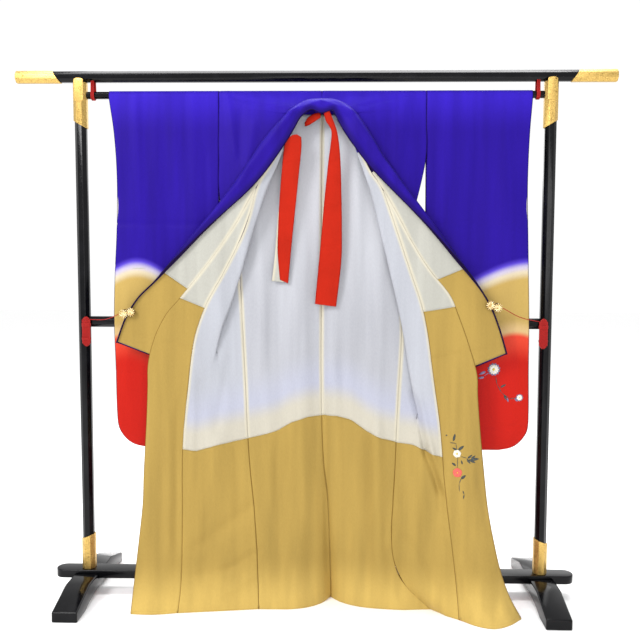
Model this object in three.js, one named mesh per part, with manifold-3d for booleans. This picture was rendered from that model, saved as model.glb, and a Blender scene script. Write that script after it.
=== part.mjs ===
// A furisode (long-sleeved kimono) hung open on a lacquered kimono stand.
// Millimetres, +Z up, +X to the right as seen from the open front, which faces -Y.
// The origin is on the floor, midway between the two posts.
import * as THREE from 'three';
import { mergeVertices } from 'three/addons/utils/BufferGeometryUtils.js';
import Module from 'manifold-3d';

const wasm = await Module();
wasm.setup();

// ---------------------------------------------------------------- driving sizes
const CLOTH = 1.2;              // outer silk, a wall
const LINING = 1.0;             // lining silk, a wall
const LINING_GAP = 0.8;         // between the outer silk and its lining
const FRONT_GAP = 1.5;          // the same, in the fronts' folds
const LINING_INSET = 1.6;       // the white lining stops this far inside a panel's edges
const HAKKAKE_INSET = 5;        // and the gold one, which the hem's folds need
const SEAM = 0.4;               // each panel stops this short of a seam line
const HEM_Z = 0.6;              // the hem rests on the floor
const FOLD_R = 3.8;             // half the depth of a sharp fold
const FOLD_RUN = 5;             // length of a fold's rounded nose
const TOUCH = 0.3;              // clearance between hard pieces that touch

const BAR = { length: 1880, flats: 34, z: 1663, capLength: 115, capFlats: 37.4 };
const ROD = { length: 1434, flats: 22, z: 1606 };
const POST = { x: 738.5, flats: 36 };
const POST_CAP = { flats: 42, low: 1526, tongueWidth: 30, tongueTop: 1672, wall: 2.7 };
const POST_SHOE = { flats: 42, height: 100 };
const RAIL = { flats: 34, z: 890 };
const BEAM = { length: 1692, depth: 60, low: 49, top: 76 };
const FOOT = { width: 78, reach: 250, top: 66, flatHalf: 121, tip: 32, archHalf: 168, arch: 20 };
const LOOP = { x: 697, width: 15, wall: 2 };
const HANK = { x: 727, width: 27, low: 811, high: 908, depth: 10 };
const CLIP = { petals: 16, radius: 15, thick: 3, pin: 3 };
const CLIP_CORD = { radius: 1.1, sides: 8, sag: 9 };

const SHOULDER = { left: -298, right: 352 };   // where the sleeves join the body
const CENTRE_X = 26;                           // centre-back seam at the neck

// ---------------------------------------------------------------- small helpers
const V = (x, y, z) => new THREE.Vector3(x, y, z);
const lerp = (a, b, t) => a + (b - a) * t;
const mix = (p, q, t) => p.clone().lerp(q, t);
const clamp01 = (t) => Math.min(1, Math.max(0, t));
const smooth = (t) => clamp01(t) * clamp01(t) * (3 - 2 * clamp01(t));

const group = new THREE.Group();

const finishes = {
  silk_blue: { color: 0x2d1fa8, roughness: 0.6, metalness: 0 },
  silk_gold: { color: 0xb8944a, roughness: 0.6, metalness: 0 },
  silk_white: { color: 0xd9dce0, roughness: 0.65, metalness: 0 },
  silk_red: { color: 0xe0301c, roughness: 0.6, metalness: 0 },
  lacquer: { color: 0x0c0c14, roughness: 0.12, metalness: 0 },
  gilt: { color: 0xe0b040, roughness: 0.3, metalness: 1 },
  cord_red: { color: 0xc01828, roughness: 0.8, metalness: 0 },
};

function add(name, geometry, finish) {
  const mesh = new THREE.Mesh(geometry, new THREE.MeshStandardMaterial(finishes[finish]));
  mesh.name = name;
  group.add(mesh);
}

// How far a table of soft upright folds lifts the cloth at one place across it.
function foldsAt(folds, across) {
  let lift = 0;
  for (const fold of folds) lift += fold.depth * Math.exp(-(((across - fold.across) / fold.width) ** 2));
  return lift;
}

// A smooth reading of a table's column between its rows (Catmull-Rom, even steps).
function readColumn(rows, key, at) {
  const last = rows.length - 1;
  const t = Math.min(last, Math.max(0, at));
  const i = Math.min(last - 1, Math.floor(t));
  const f = t - i;
  const b = rows[i][key];
  const c = rows[i + 1][key];
  const a = i > 0 ? rows[i - 1][key] : 2 * b - c;
  const d = i + 2 <= last ? rows[i + 2][key] : 2 * c - b;
  const slopes = (c - a) * f + (2 * a - 5 * b + 4 * c - d) * f * f;
  return b + 0.5 * (slopes + (3 * b - a - 3 * c + d) * f * f * f);
}

function readPoint(rows, name, at) {
  return V(...['X', 'Y', 'Z'].map((axis) => readColumn(rows, name + axis, at)));
}

// Turns rows of numbers into rows with named columns.
function table(names, rows) {
  const keys = names.split(' ');
  return rows.map((row) => Object.fromEntries(row.map((value, i) => [keys[i], value])));
}

// ---------------------------------------------------------------- cloth walls
// The grid holds rows of points; a wall lies between two offsets along its normals.
// outward is +1 or -1, for which side of the grid is the outside of the garment.
function gridNormals(grid) {
  const rows = grid.length;
  const columns = grid[0].length;
  const normals = grid.map((row) => row.map(() => V(0, 0, 0)));
  for (let i = 0; i < rows - 1; i++) {
    for (let j = 0; j < columns - 1; j++) {
      const [a, b, c, d] = [grid[i][j], grid[i][j + 1], grid[i + 1][j + 1], grid[i + 1][j]];
      const face = c.clone().sub(a).cross(d.clone().sub(b)).normalize();
      for (const [r, k] of [[i, j], [i, j + 1], [i + 1, j + 1], [i + 1, j]]) normals[r][k].add(face);
    }
  }
  return normals.map((row) => row.map((n) => n.normalize()));
}

function wall(grid, near, far, outward) {
  const rows = grid.length;
  const columns = grid[0].length;
  const normals = gridNormals(grid);
  const points = [];
  for (const offset of [near, far]) {
    for (let i = 0; i < rows; i++) {
      for (let j = 0; j < columns; j++) {
        points.push(grid[i][j].clone().addScaledVector(normals[i][j], offset * outward));
      }
    }
  }
  const at = (side, i, j) => side * rows * columns + i * columns + j;
  const faces = [];
  const flip = (far - near) * outward < 0;
  const quad = (a, b, c, d) => {
    const tris = [[a, b, c], [a, c, d]];
    for (const [p, q, r] of tris) faces.push(...(flip ? [p, r, q] : [p, q, r]));
  };
  for (let i = 0; i < rows - 1; i++) {
    for (let j = 0; j < columns - 1; j++) {
      quad(at(1, i, j), at(1, i, j + 1), at(1, i + 1, j + 1), at(1, i + 1, j));
      faces.push(...backOf(at, i, j, flip));
    }
  }
  for (let i = 0; i < rows - 1; i++) {
    quad(at(0, i, 0), at(1, i, 0), at(1, i + 1, 0), at(0, i + 1, 0));
    quad(at(1, i, columns - 1), at(0, i, columns - 1), at(0, i + 1, columns - 1), at(1, i + 1, columns - 1));
  }
  for (let j = 0; j < columns - 1; j++) {
    quad(at(1, 0, j), at(0, 0, j), at(0, 0, j + 1), at(1, 0, j + 1));
    quad(at(0, rows - 1, j), at(1, rows - 1, j), at(1, rows - 1, j + 1), at(0, rows - 1, j + 1));
  }
  const geometry = new THREE.BufferGeometry();
  const flat = points.flatMap((p) => p.toArray());
  geometry.setAttribute('position', new THREE.Float32BufferAttribute(flat, 3));
  geometry.setIndex(faces);
  return geometry;
}

// The near side's two triangles share the far side's diagonal, so the wall keeps its thickness.
function backOf(at, i, j, flip) {
  const [a, b, c, d] = [at(0, i, j), at(0, i, j + 1), at(0, i + 1, j + 1), at(0, i + 1, j)];
  return flip ? [a, b, c, a, c, d] : [a, c, b, a, d, c];
}

// Draws a grid's edges in by some distance, so that it stops short of its seams.
function trimmed(grid, { first = 0, last = 0, start = 0, end = 0 }) {
  const towards = (p, q, distance) => p.clone().add(q.clone().sub(p).setLength(distance));
  const rows = grid.map((row) => {
    const out = row.slice();
    if (first) out[0] = towards(row[0], row[1], first);
    if (last) out[row.length - 1] = towards(row[row.length - 1], row[row.length - 2], last);
    return out;
  });
  if (start) rows[0] = rows[0].map((p, j) => towards(p, rows[1][j], start));
  if (end) {
    const n = rows.length - 1;
    rows[n] = rows[n].map((p, j) => towards(p, rows[n - 1][j], end));
  }
  return rows;
}

// ---------------------------------------------------------------- the fronts
// Each row crosses a front from the collar out to the side seam, from the shoulder down.
// seam: collar seam or front edge. join: front and okumi seam. turn: where the front turns
// back on itself. tuck: the slack's hidden fold. side: side edge or side seam. centre: the
// centre-back seam at the same height, and back: how deep the back panel's side edge lies.
const columnsOfFront = 'seamX seamY seamZ joinX joinY joinZ turnX turnY turnZ tuckX tuckY tuckZ '
  + 'sideX sideY sideZ backY';
const FRONT = {
  left: table(columnsOfFront, [
    [-56, -46, 1532, -56, -46, 1532, -48, -40, 1528, -210, -26, 1540, -298, -15, 1548, 12],
    [-84, -52, 1487, -84, -52, 1487, -74, -45, 1478, -222, -30, 1480, -298, -19, 1488, 8],
    [-118, -57, 1412, -118, -57, 1412, -104, -48, 1402, -232, -35, 1410, -298, -24, 1418, 3],
    [-172, -64, 1325, -171, -63, 1323, -140, -53, 1318, -238, -40, 1318, -284, -30, 1322, -6],
    [-233, -70, 1214, -207, -67, 1198, -185, -56, 1185, -246, -45, 1190, -258, -36, 1196, -16],
    [-318, -75, 1089, -262, -71, 1078, -217, -59, 1074, -276, -49, 1078, -238, -40, 1080, -28],
    [-413, -80, 971, -330, -75, 955, -258, -61, 948, -304, -51, 950, -226, -41, 952, -40.4],
    [-470, -83, 899, -363, -77, 869, -289, -62, 866, -324, -52, 866, -222, -41, 866, -40.6],
    [-510, -85, 792, -379, -78, 795, -308, -63, 792, -303, -56, 792, -218, -43, 792, -42.6],
    [-516, -88, 690, -391, -80, 690, -340, -66, 690, -281, -56, 690, -213, -46, 690, -45.6],
    [-521, -94, 556, -405, -85, 553, -338, -73, 552, -272, -66, 551, -207, -53, 550, -52.6],
    [-527, -104, 440, -409, -94, 440, -338, -84, 440, -266, -76, 440, -199, -62, 440, -61.6],
    [-529, -117, 330, -407, -106, 330, -332, -98, 330, -258, -90, 330, -187, -74, 330, -73.6],
    [-540, -134, 205, -406, -122, 205, -328, -114, 205, -250, -106, 205, -176, -90, 205, -89.6],
    [-549, -156, 95, -405, -144, 95, -326, -136, 95, -247, -128, 95, -169, -111, 95, -110.6],
    [-555, -184, HEM_Z, -412, -172, HEM_Z, -329, -160, HEM_Z, -246, -148, HEM_Z, -164, -135, HEM_Z, -134.6],
  ]),
  right: table(columnsOfFront, [
    [102, -46, 1532, 102, -46, 1532, 94, -40, 1528, 262, -26, 1540, 352, -15, 1548, 12],
    [128, -52, 1474, 128, -52, 1474, 118, -45, 1466, 274, -30, 1476, 352, -19, 1488, 8],
    [168, -57, 1380, 168, -57, 1380, 153, -48, 1372, 286, -35, 1395, 352, -24, 1418, 3],
    [213, -64, 1315, 212, -63, 1313, 176, -53, 1310, 290, -40, 1315, 334, -30, 1322, -6],
    [272, -70, 1212, 254, -67, 1199, 205, -56, 1194, 292, -45, 1195, 305, -36, 1198, -16],
    [338, -75, 1092, 298, -71, 1070, 237, -59, 1066, 312, -49, 1068, 286, -40, 1072, -28],
    [424, -80, 983, 338, -75, 955, 265, -61, 950, 324, -51, 950, 280, -41, 952, -40.4],
    [460, -83, 895, 359, -77, 860, 284, -62, 858, 336, -52, 858, 281, -41, 860, -40.6],
    [506, -86, 761, 372, -79, 768, 299, -63, 765, 342, -54, 765, 277, -43, 765, -42.6],
    [513, -90, 675, 385, -82, 678, 316, -67, 676, 346, -58, 676, 272, -46, 676, -45.6],
    [522, -97, 556, 402, -88, 553, 345, -76, 552, 322, -66, 551, 266, -53, 550, -52.6],
    [533, -108, 440, 410, -99, 440, 362, -87, 440, 312, -76, 440, 262, -62, 440, -61.6],
    [544, -125, 330, 421, -114, 330, 368, -103, 330, 312, -90, 330, 256, -73, 330, -72.6],
    [566, -147, 205, 436, -134, 205, 374, -121, 205, 311, -106, 205, 252, -87, 205, -86.6],
    [594, -168, 95, 448, -160, 93, 378, -142, 93, 318, -122, 93, 278, -101, 95, -100.6],
    [642, -178, HEM_Z, 454, -192, HEM_Z, 418, -166, HEM_Z, 396, -140, HEM_Z, 374, -118, HEM_Z, -117.6],
  ]),
};
const LAST_ROW = FRONT.left.length - 1;
const COLLAR_END_ROW = 8; // the collar ends here

// The centre-back seam at the same rows, and how far the back bells out near the floor.
const BACK = table('x y z bell', [
  [26, 11.6, 1548, 0],
  [26, 8, 1488, 0],
  [26, 4, 1418, 0],
  [26, -3, 1320, 1],
  [26, -9, 1196, 2],
  [26, -16, 1076, 3],
  [27, -22, 952, 4],
  [27, -25.5, 864, 4],
  [27, -28, 780, 4],
  [28, -30, 684, 4],
  [30, -33, 551, 5],
  [36, -35, 440, 7],
  [48, -37, 330, 10],
  [54, -38.5, 205, 18],
  [58, -38.5, 95, 32],
  [60, -36.5, HEM_Z, 48],
]);

// Soft upright folds of the back, per side: where across it, how wide and how deep.
const BACK_FOLDS = table('across width depth', [
  [0.22, 0.09, 5],
  [0.5, 0.1, -4],
  [0.74, 0.08, 5],
]);
const FRONT_COLUMNS = 12;
const BELL_SKEW = 0.7;    // under 1, the back bells out more beside its centre seam

// A fold's nose: the point before it, its tip and the point after it.
function nose(tip, before, after, sharp) {
  const run = lerp(0.12, 1, sharp);
  const near = mix(tip, before, Math.min(0.3, FOLD_RUN / tip.distanceTo(before)) * run);
  const off = mix(tip, after, Math.min(0.3, FOLD_RUN / tip.distanceTo(after)) * run);
  near.y -= FOLD_R * sharp;
  off.y += FOLD_R * sharp;
  return [near, tip, off];
}

// How sharply a tip is folded: fully once the cloth on both sides doubles back this far.
const FULL_FOLD = 28;
const foldAt = (...doubledBack) => clamp01(Math.min(...doubledBack) / FULL_FOLD);

function frontSection(side, row) {
  const rows = FRONT[side];
  const [join, turn, tuck, edge] = ['join', 'turn', 'tuck', 'side'].map((n) => readPoint(rows, n, row));
  const out = (p) => (side === 'left' ? -p.x : p.x);
  const turnFold = foldAt(out(join) - out(turn), out(tuck) - out(turn));
  const tuckFold = foldAt(out(tuck) - out(turn), out(tuck) - out(edge));
  const turnNose = nose(turn, join, tuck, turnFold);
  const tuckNose = nose(tuck, turn, edge, tuckFold);
  spreadOut(turnNose, join, tuck, 1 - turnFold);
  spreadOut(tuckNose, turn, edge, 1 - tuckFold);
  return [
    join, mix(join, turnNose[0], 0.36), mix(join, turnNose[0], 0.7), ...turnNose,
    mix(turnNose[2], tuckNose[0], 0.5), ...tuckNose, mix(tuckNose[2], edge, 0.55), edge,
  ];
}

// Where a fold has opened out, its nose points spread along the cloth on each side.
function spreadOut(noseOf, before, after, open) {
  noseOf[0].lerp(mix(noseOf[1], before, 0.3), open);
  noseOf[2].lerp(mix(noseOf[1], after, 0.3), open);
}

function backSection(side, row) {
  const centre = V(readColumn(BACK, 'x', row), readColumn(BACK, 'y', row), readColumn(BACK, 'z', row));
  const edge = readPoint(FRONT[side], 'side', row);
  edge.y = readColumn(FRONT[side], 'backY', row);
  const bell = readColumn(BACK, 'bell', row);
  const foldStrength = smooth(row / 3) * (1 - 0.6 * smooth((row - 11) / 4));
  return Array.from({ length: FRONT_COLUMNS }, (_, j) => {
    const u = j / (FRONT_COLUMNS - 1);
    const p = mix(centre, edge, u);
    p.y -= bell * Math.sin(Math.PI * u ** BELL_SKEW);
    p.y -= foldStrength * foldsAt(BACK_FOLDS, u);
    return p;
  });
}

// ---------------------------------------------------------------- body panels
// One length of cloth a side: up the back, over the rod at the shoulder, down the front.
// Its points lie over the rod's own corners.
const rodRadius = ROD.flats / 2 / Math.cos(Math.PI / 8) + 0.6;
const ROD_TURN = table('angle', [[22.5], [67.5], [112.5], [157.5]]);

function overRod(side) {
  const share = (j) => j / (FRONT_COLUMNS - 1);
  const across = (p, q) => Array.from({ length: FRONT_COLUMNS }, (_, j) => mix(p, q, share(j)));
  const turns = ROD_TURN.map(({ angle }) => {
    const a = THREE.MathUtils.degToRad(angle);
    const y = rodRadius * Math.cos(a);
    const z = ROD.z + rodRadius * Math.sin(a);
    return across(V(CENTRE_X, y, z), V(SHOULDER[side], y, z));
  });
  const neck = NECK[side].map((row) => (
    across(V(row.x, row.y, row.z), V(SHOULDER[side], row.sideY, row.sideZ))));
  return [...turns, ...neck];
}

// The neck's edge, from the centre back round to the front, with the shoulder opposite.
const NECK = {
  left: table('x y z sideY sideZ', [
    [CENTRE_X, -38, 1562, -12.6, 1606],
    [-20, -42, 1556, -13, 1590],
    [-42, -44, 1544, -13.5, 1570],
  ]),
  right: table('x y z sideY sideZ', [
    [CENTRE_X, -38, 1562, -12.6, 1606],
    [64, -42, 1556, -13, 1590],
    [88, -44, 1544, -13.5, 1570],
  ]),
};
// Where the panels' rows are cut, as row numbers: closer where the front's folds begin and end.
const ROW_STEP = 0.75;
const CLOSE_ROWS = { start: [4.125], end: [7.875, 8.625, 9.375] };
const BACK_CUTS = Array.from({ length: LAST_ROW + 1 }, (_, i) => i);
const FRONT_CUTS = [
  ...Array.from({ length: Math.round(LAST_ROW / ROW_STEP) + 1 }, (_, i) => i * ROW_STEP),
  ...CLOSE_ROWS.start, ...CLOSE_ROWS.end,
].sort((a, b) => a - b);

for (const side of ['left', 'right']) {
  const back = BACK_CUTS.map((row) => backSection(side, row)).reverse();
  const front = FRONT_CUTS.map((row) => frontSection(side, row));
  const outward = side === 'left' ? 1 : -1;
  const strip = trimmed([...back, ...overRod(side), ...front], { first: SEAM, last: SEAM });
  add(`body_${side}`, wall(strip, 0, CLOTH, outward), 'silk_blue');
}

// The white lining and, below it, the gold one: how far down each goes at each column.
// A row number in the front's table, at the panel's inner and outer edges.
const LINING_ENDS = {
  left: { backInner: 9.66, backOuter: 10.23, front: 10.5 },
  right: { backInner: 9.66, backOuter: 10.3, front: 10.5 },
};
const HEM_LIFT = 5;       // the linings stop this far above the hem
const LINING_TOP_ROW = 1.5; // the front's lining shows from here down

// Rows from one row number to another, kept at the outer cloth's own rows in between.
function spanRows(section, from, to, cuts, columns) {
  const inside = cuts.filter((row) => row > Math.max(...from) + 0.2 && row < Math.min(...to) - 0.2);
  const rowOf = (ends, j) => lerp(ends[0], ends[1], j / (columns - 1));
  const edge = (ends) => Array.from({ length: columns }, (_, j) => section(rowOf(ends, j))[j]);
  return [edge(from), ...inside.map((row) => section(row)), edge(to)];
}

for (const side of ['left', 'right']) {
  const outward = side === 'left' ? 1 : -1;
  const ends = LINING_ENDS[side];
  const backEnds = [ends.backInner, ends.backOuter];
  const frontEnds = [ends.front, ends.front];
  const top = [LINING_TOP_ROW, LINING_TOP_ROW];
  const hem = [LAST_ROW, LAST_ROW];
  const pieces = [
    { part: 'back', piece: 'lining', from: [0, 0], to: backEnds },
    { part: 'back', piece: 'hakkake', from: backEnds, to: hem },
    { part: 'front', piece: 'lining', from: top, to: frontEnds },
    { part: 'front', piece: 'hakkake', from: frontEnds, to: hem },
  ];
  for (const { part, piece, from, to } of pieces) {
    const gold = piece === 'hakkake';
    const section = part === 'back' ? backSection : frontSection;
    const cuts = part === 'back' ? BACK_CUTS : FRONT_CUTS;
    const gap = part === 'back' ? LINING_GAP : FRONT_GAP;
    const inset = gold ? HAKKAKE_INSET : LINING_INSET;
    const edges = { first: inset, last: inset, start: SEAM, end: gold ? HEM_LIFT : SEAM };
    const grid = trimmed(spanRows((row) => section(side, row), from, to, cuts, FRONT_COLUMNS), edges);
    // The back's rows run up from the hem, as the outer cloth's do.
    if (part === 'back') grid.reverse();
    const finish = gold ? 'silk_gold' : 'silk_white';
    add(`${piece}_${part}_${side}`, wall(grid, -gap, -gap - LINING, outward), finish);
  }
}

// ---------------------------------------------------------------- okumi (front overlaps)
const OKUMI_COLUMNS = 5;
// How far the okumi's middle stands forward of a straight line, by row.
const OKUMI_BELLY = {
  left: table('y', [[0], [0], [0], [0], [0], [1], [2], [2], [2], [3], [4], [5], [6], [7], [8], [8]]),
  right: table('y', [[0], [0], [0], [0], [0], [1], [2], [2], [3], [4], [6], [8], [10], [14], [28], [62]]),
};
const OKUMI_TOP = 3.25;
const OKUMI_STEP = 0.75;
const OKUMI_GOLD_TOP = { left: 6, right: 6 };

function okumiSection(side, row) {
  const join = readPoint(FRONT[side], 'join', row);
  const edge = readPoint(FRONT[side], 'seam', row);
  const belly = readColumn(OKUMI_BELLY[side], 'y', row);
  return Array.from({ length: OKUMI_COLUMNS }, (_, j) => {
    const u = j / (OKUMI_COLUMNS - 1);
    const p = mix(join, edge, u);
    p.y -= belly * Math.sin(Math.PI * u);
    return p;
  });
}

for (const side of ['left', 'right']) {
  const outward = side === 'left' ? -1 : 1;
  const sections = (from, to) => {
    const rows = [from];
    for (let row = 0; row < to - 0.1; row += OKUMI_STEP) if (row > from + 0.1) rows.push(row);
    return [...rows, to].map((row) => okumiSection(side, row));
  };
  const edges = { first: SEAM, last: SEAM };
  add(`okumi_${side}`, wall(trimmed(sections(OKUMI_TOP, LAST_ROW), edges), 0, CLOTH, outward), 'silk_gold');
  const goldTop = OKUMI_GOLD_TOP[side];
  const inner = [-LINING_GAP, -LINING_GAP - LINING];
  const white = trimmed(sections(OKUMI_TOP + 0.15, goldTop), { first: 1, last: 1, end: SEAM });
  add(`okumi_lining_${side}`, wall(white, inner[0], inner[1], outward), 'silk_white');
  const gold = trimmed(sections(goldTop, LAST_ROW), { first: 1, last: 1, start: SEAM, end: HEM_LIFT });
  add(`okumi_hakkake_${side}`, wall(gold, inner[0], inner[1], outward), 'silk_gold');
}

// ---------------------------------------------------------------- collar
// crease: the collar's outer edge, where it folds. lip: the edge of the half folded in.
const columnsOfCollar = 'creaseX creaseY creaseZ lipX lipY lipZ';
const COLLAR = {
  left: table(columnsOfCollar, [
    [-72, -52, 1550, -40, -60, 1524],
    [-114, -57, 1506, -68, -65, 1474],
    [-163, -61, 1447, -113, -69, 1405],
    [-219, -66, 1362, -179, -74, 1321],
    [-292, -72, 1263, -264, -79, 1242],
    [-393, -77, 1144, -378, -83.5, 1132],
    [-492, -81, 1024, -483, -87, 1017],
    [-566, -84, 945, -558, -90, 939],
    [-614, -87, 831, -606, -93, 828],
  ]),
  right: table(columnsOfCollar, [
    [122, -52, 1552, 74, -60, 1520],
    [158, -57, 1506, 108, -65, 1462],
    [213, -61, 1415, 166, -69, 1385],
    [259, -66, 1351, 221, -74, 1326],
    [332, -72, 1255, 309, -79, 1238],
    [415, -77, 1144, 403, -83.5, 1133],
    [518, -81, 1004, 510, -87, 997],
    [566, -85, 915, 558, -91, 909],
    [602, -88, 802, 594, -94, 800],
  ]),
};
const COLLAR_STEPS = 12;  // rows down each side
const COLLAR_SEAM = 2;    // the collar's wall stops this short of its seam line
const COLLAR_STAND = 2.6; // the collar's seam stands this far forward of the neck's edge
// The same three lines round the back of the neck, from the left side to the right.
const COLLAR_NECK = table(`seamX seamY seamZ ${columnsOfCollar}`, [
  [-42, -44 - COLLAR_STAND, 1544, -44, -52, 1570, -22, -60, 1541],
  [-20, -42 - COLLAR_STAND, 1556, -16, -51, 1582, -4, -59, 1550],
  [CENTRE_X, -38 - COLLAR_STAND, 1562, CENTRE_X, -49, 1585, 24, -58, 1539],
  [64, -42 - COLLAR_STAND, 1556, 70, -51, 1582, 58, -59, 1548],
  [88, -44 - COLLAR_STAND, 1544, 98, -52, 1570, 64, -60, 1540],
]);

function collarSection(seam, crease, lip) {
  const before = mix(crease, seam, FOLD_RUN / crease.distanceTo(seam));
  const after = mix(crease, lip, Math.min(0.5, FOLD_RUN / crease.distanceTo(lip)));
  before.y += FOLD_R;
  after.y -= FOLD_R;
  return [seam, mix(seam, before, 0.5), before, crease, after, mix(after, lip, 0.5), lip];
}

function collarSide(side) {
  return Array.from({ length: COLLAR_STEPS + 1 }, (_, i) => {
    const row = (COLLAR_END_ROW * i) / COLLAR_STEPS;
    const seam = readPoint(FRONT[side], 'seam', row);
    seam.y -= COLLAR_STAND * clamp01(1 - row);
    return collarSection(seam, readPoint(COLLAR[side], 'crease', row), readPoint(COLLAR[side], 'lip', row));
  });
}

const neckSections = COLLAR_NECK.map((_, i) => collarSection(
  readPoint(COLLAR_NECK, 'seam', i), readPoint(COLLAR_NECK, 'crease', i), readPoint(COLLAR_NECK, 'lip', i)));
const collarGrid = [...collarSide('left').reverse(), ...neckSections, ...collarSide('right')];
add('collar', wall(trimmed(collarGrid, { first: COLLAR_SEAM }), 0, CLOTH, 1), 'silk_blue');

// The collar's lining shows where the collar has opened out, down to its end.
const COLLAR_LINING = { from: 3.5, gold: { left: 5.75, right: 5.55 } };
for (const side of ['left', 'right']) {
  const outward = side === 'left' ? -1 : 1;
  const sections = (from, to) => {
    const rows = [from];
    for (let i = 1; i < COLLAR_STEPS; i++) {
      const row = (COLLAR_END_ROW * i) / COLLAR_STEPS;
      if (row > from + 0.1 && row < to - 0.1) rows.push(row);
    }
    return [...rows, to].map((row) => collarSection(
      readPoint(FRONT[side], 'seam', row),
      readPoint(COLLAR[side], 'crease', row),
      readPoint(COLLAR[side], 'lip', row)).slice(0, 3));
  };
  const inner = [-LINING_GAP, -LINING_GAP - LINING];
  const gold = COLLAR_LINING.gold[side];
  const white = trimmed(sections(COLLAR_LINING.from, gold), { first: COLLAR_SEAM, end: SEAM });
  add(`collar_lining_${side}`, wall(white, inner[0], inner[1], outward), 'silk_white');
  const low = trimmed(sections(gold, COLLAR_END_ROW), { first: COLLAR_SEAM, start: SEAM, end: 1 });
  add(`collar_hakkake_${side}`, wall(low, inner[0], inner[1], outward), 'silk_gold');
}

// ---------------------------------------------------------------- sleeves
// Each is one length folded over the rod, sewn at its foot and up its outer edge.
const SLEEVE = { low: 487, cornerRadius: 88, wristLow: 1390, columns: 8 };
const SLEEVE_ROWS = {
  left: table('z outerX frontY backY', [
    [1598, -645, -13.2, 13], [1500, -631, -16.5, 9], [1400, -623, -19.5, 3], [1300, -623, -22.5, -4],
    [1180, -625, -26, -11], [1040, -632, -29, -16.5], [900, -636, -30, -19.6], [740, -633, -30, -20],
    [600, -631, -30, -20.4], [550, -629, -30, -20.8], [516, -627, -30, -21.4], [496, -625, -29, -22],
    [487, -624, -27, -22.5],
  ]),
  right: table('z outerX frontY backY', [
    [1598, 680, -13.2, 13], [1500, 673, -16.5, 9], [1400, 669, -19.5, 3], [1300, 670, -22.5, -4],
    [1180, 673, -26, -11], [1040, 677, -29, -16.5], [900, 681, -30, -19.6], [740, 683, -30, -20],
    [600, 686, -30, -20.4], [550, 686, -30, -20.8], [516, 684, -30, -21.4], [496, 683, -29, -22],
    [487, 682, -27, -22.5],
  ]),
};
const SLEEVE_WAVES = table('across width depth', [[0.3, 0.12, 3], [0.62, 0.14, -2.5]]);

function sleeveSection(side, row, face) {
  const sign = side === 'left' ? -1 : 1;
  const reach = Math.max(0, SLEEVE.cornerRadius - (row.z - SLEEVE.low));
  const cut = SLEEVE.cornerRadius - Math.sqrt(Math.max(0, SLEEVE.cornerRadius ** 2 - reach ** 2));
  const inner = SHOULDER[side] + sign * 2 * SEAM;
  const outer = row.outerX - sign * cut;
  const middle = (row.frontY + row.backY) / 2;
  const y = face === 'front' ? row.frontY : row.backY;
  const sewnFoot = clamp01((row.z - SLEEVE.low) / 20);
  return Array.from({ length: SLEEVE.columns }, (_, j) => {
    const u = j / (SLEEVE.columns - 1);
    const sewnSide = row.z < SLEEVE.wristLow ? clamp01((1 - u) * 6) : 1;
    const open = Math.sqrt(Math.min(sewnFoot, sewnSide));
    const half = Math.max(Math.abs(y - middle) * open, SEAM / 2);
    const wave = smooth((SLEEVE.wristLow - row.z) / 300) * open * foldsAt(SLEEVE_WAVES, u);
    return V(lerp(inner, outer, u), middle + (face === 'front' ? -half : half) - Math.abs(wave), row.z);
  });
}

for (const side of ['left', 'right']) {
  const outward = side === 'left' ? 1 : -1;
  const rows = SLEEVE_ROWS[side];
  const back = rows.slice().reverse().map((row) => sleeveSection(side, row, 'back'));
  const turn = ROD_TURN.map(({ angle }) => {
    const a = THREE.MathUtils.degToRad(angle);
    const sign = side === 'left' ? -1 : 1;
    const p = V(SHOULDER[side] + sign * 2 * SEAM, rodRadius * Math.cos(a), ROD.z + rodRadius * Math.sin(a));
    const q = p.clone().setX(rows[0].outerX);
    return Array.from({ length: SLEEVE.columns }, (_, j) => mix(p, q, j / (SLEEVE.columns - 1)));
  });
  const front = rows.map((row) => sleeveSection(side, row, 'front'));
  add(`sleeve_${side}`, wall([...back, ...turn, ...front], 0, CLOTH, outward), 'silk_blue');
}

// ---------------------------------------------------------------- collar ties
// Two red silk ties that hang inside the neck from the collar's inner half.
const columnsOfTie = 'leftX rightX y leftZ rightZ';
const TIES = {
  tie_left: { finish: 'silk_red', thick: 2, rows: table(columnsOfTie, [
    [-84, -38, -63.8, 1462, 1490], [-92, -36, -54, 1420, 1440], [-99, -44, -50, 1350, 1358],
    [-106, -54, -48, 1262, 1262], [-110, -64, -47, 1170, 1168], [-111, -70, -46, 1110, 1106],
    [-104, -78, -45, 1028, 1016],
  ]) },
  tie_left_backing: { finish: 'silk_white', thick: 1.5, rows: table(columnsOfTie, [
    [-110, -84, -42, 1240, 1240], [-115, -82, -42, 1172, 1170], [-121, -84, -41.5, 1100, 1096],
    [-130, -92, -41, 1024, 1020],
  ]) },
  tie_right: { finish: 'silk_red', thick: 2, rows: table(columnsOfTie, [
    [30, 50, -56, 1548, 1548], [40, 66, -54, 1514, 1508], [56, 76, -52, 1484, 1474],
    [48, 84, -50, 1404, 1404], [36, 88, -49, 1290, 1290], [26, 90, -48, 1170, 1168],
    [18, 88, -47, 1080, 1078], [6, 73, -46, 952, 944],
  ]) },
};
for (const [name, tie] of Object.entries(TIES)) {
  const steps = (tie.rows.length - 1) * 2;
  const grid = Array.from({ length: steps + 1 }, (_, i) => {
    const read = (key) => readColumn(tie.rows, key, i / 2);
    const a = V(read('leftX'), read('y'), read('leftZ'));
    const b = V(read('rightX'), read('y'), read('rightZ'));
    return [a, mix(a, b, 0.5).add(V(0, -1.5, 0)), b];
  });
  add(name, wall(grid, 0, tie.thick, 1), tie.finish);
}

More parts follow.
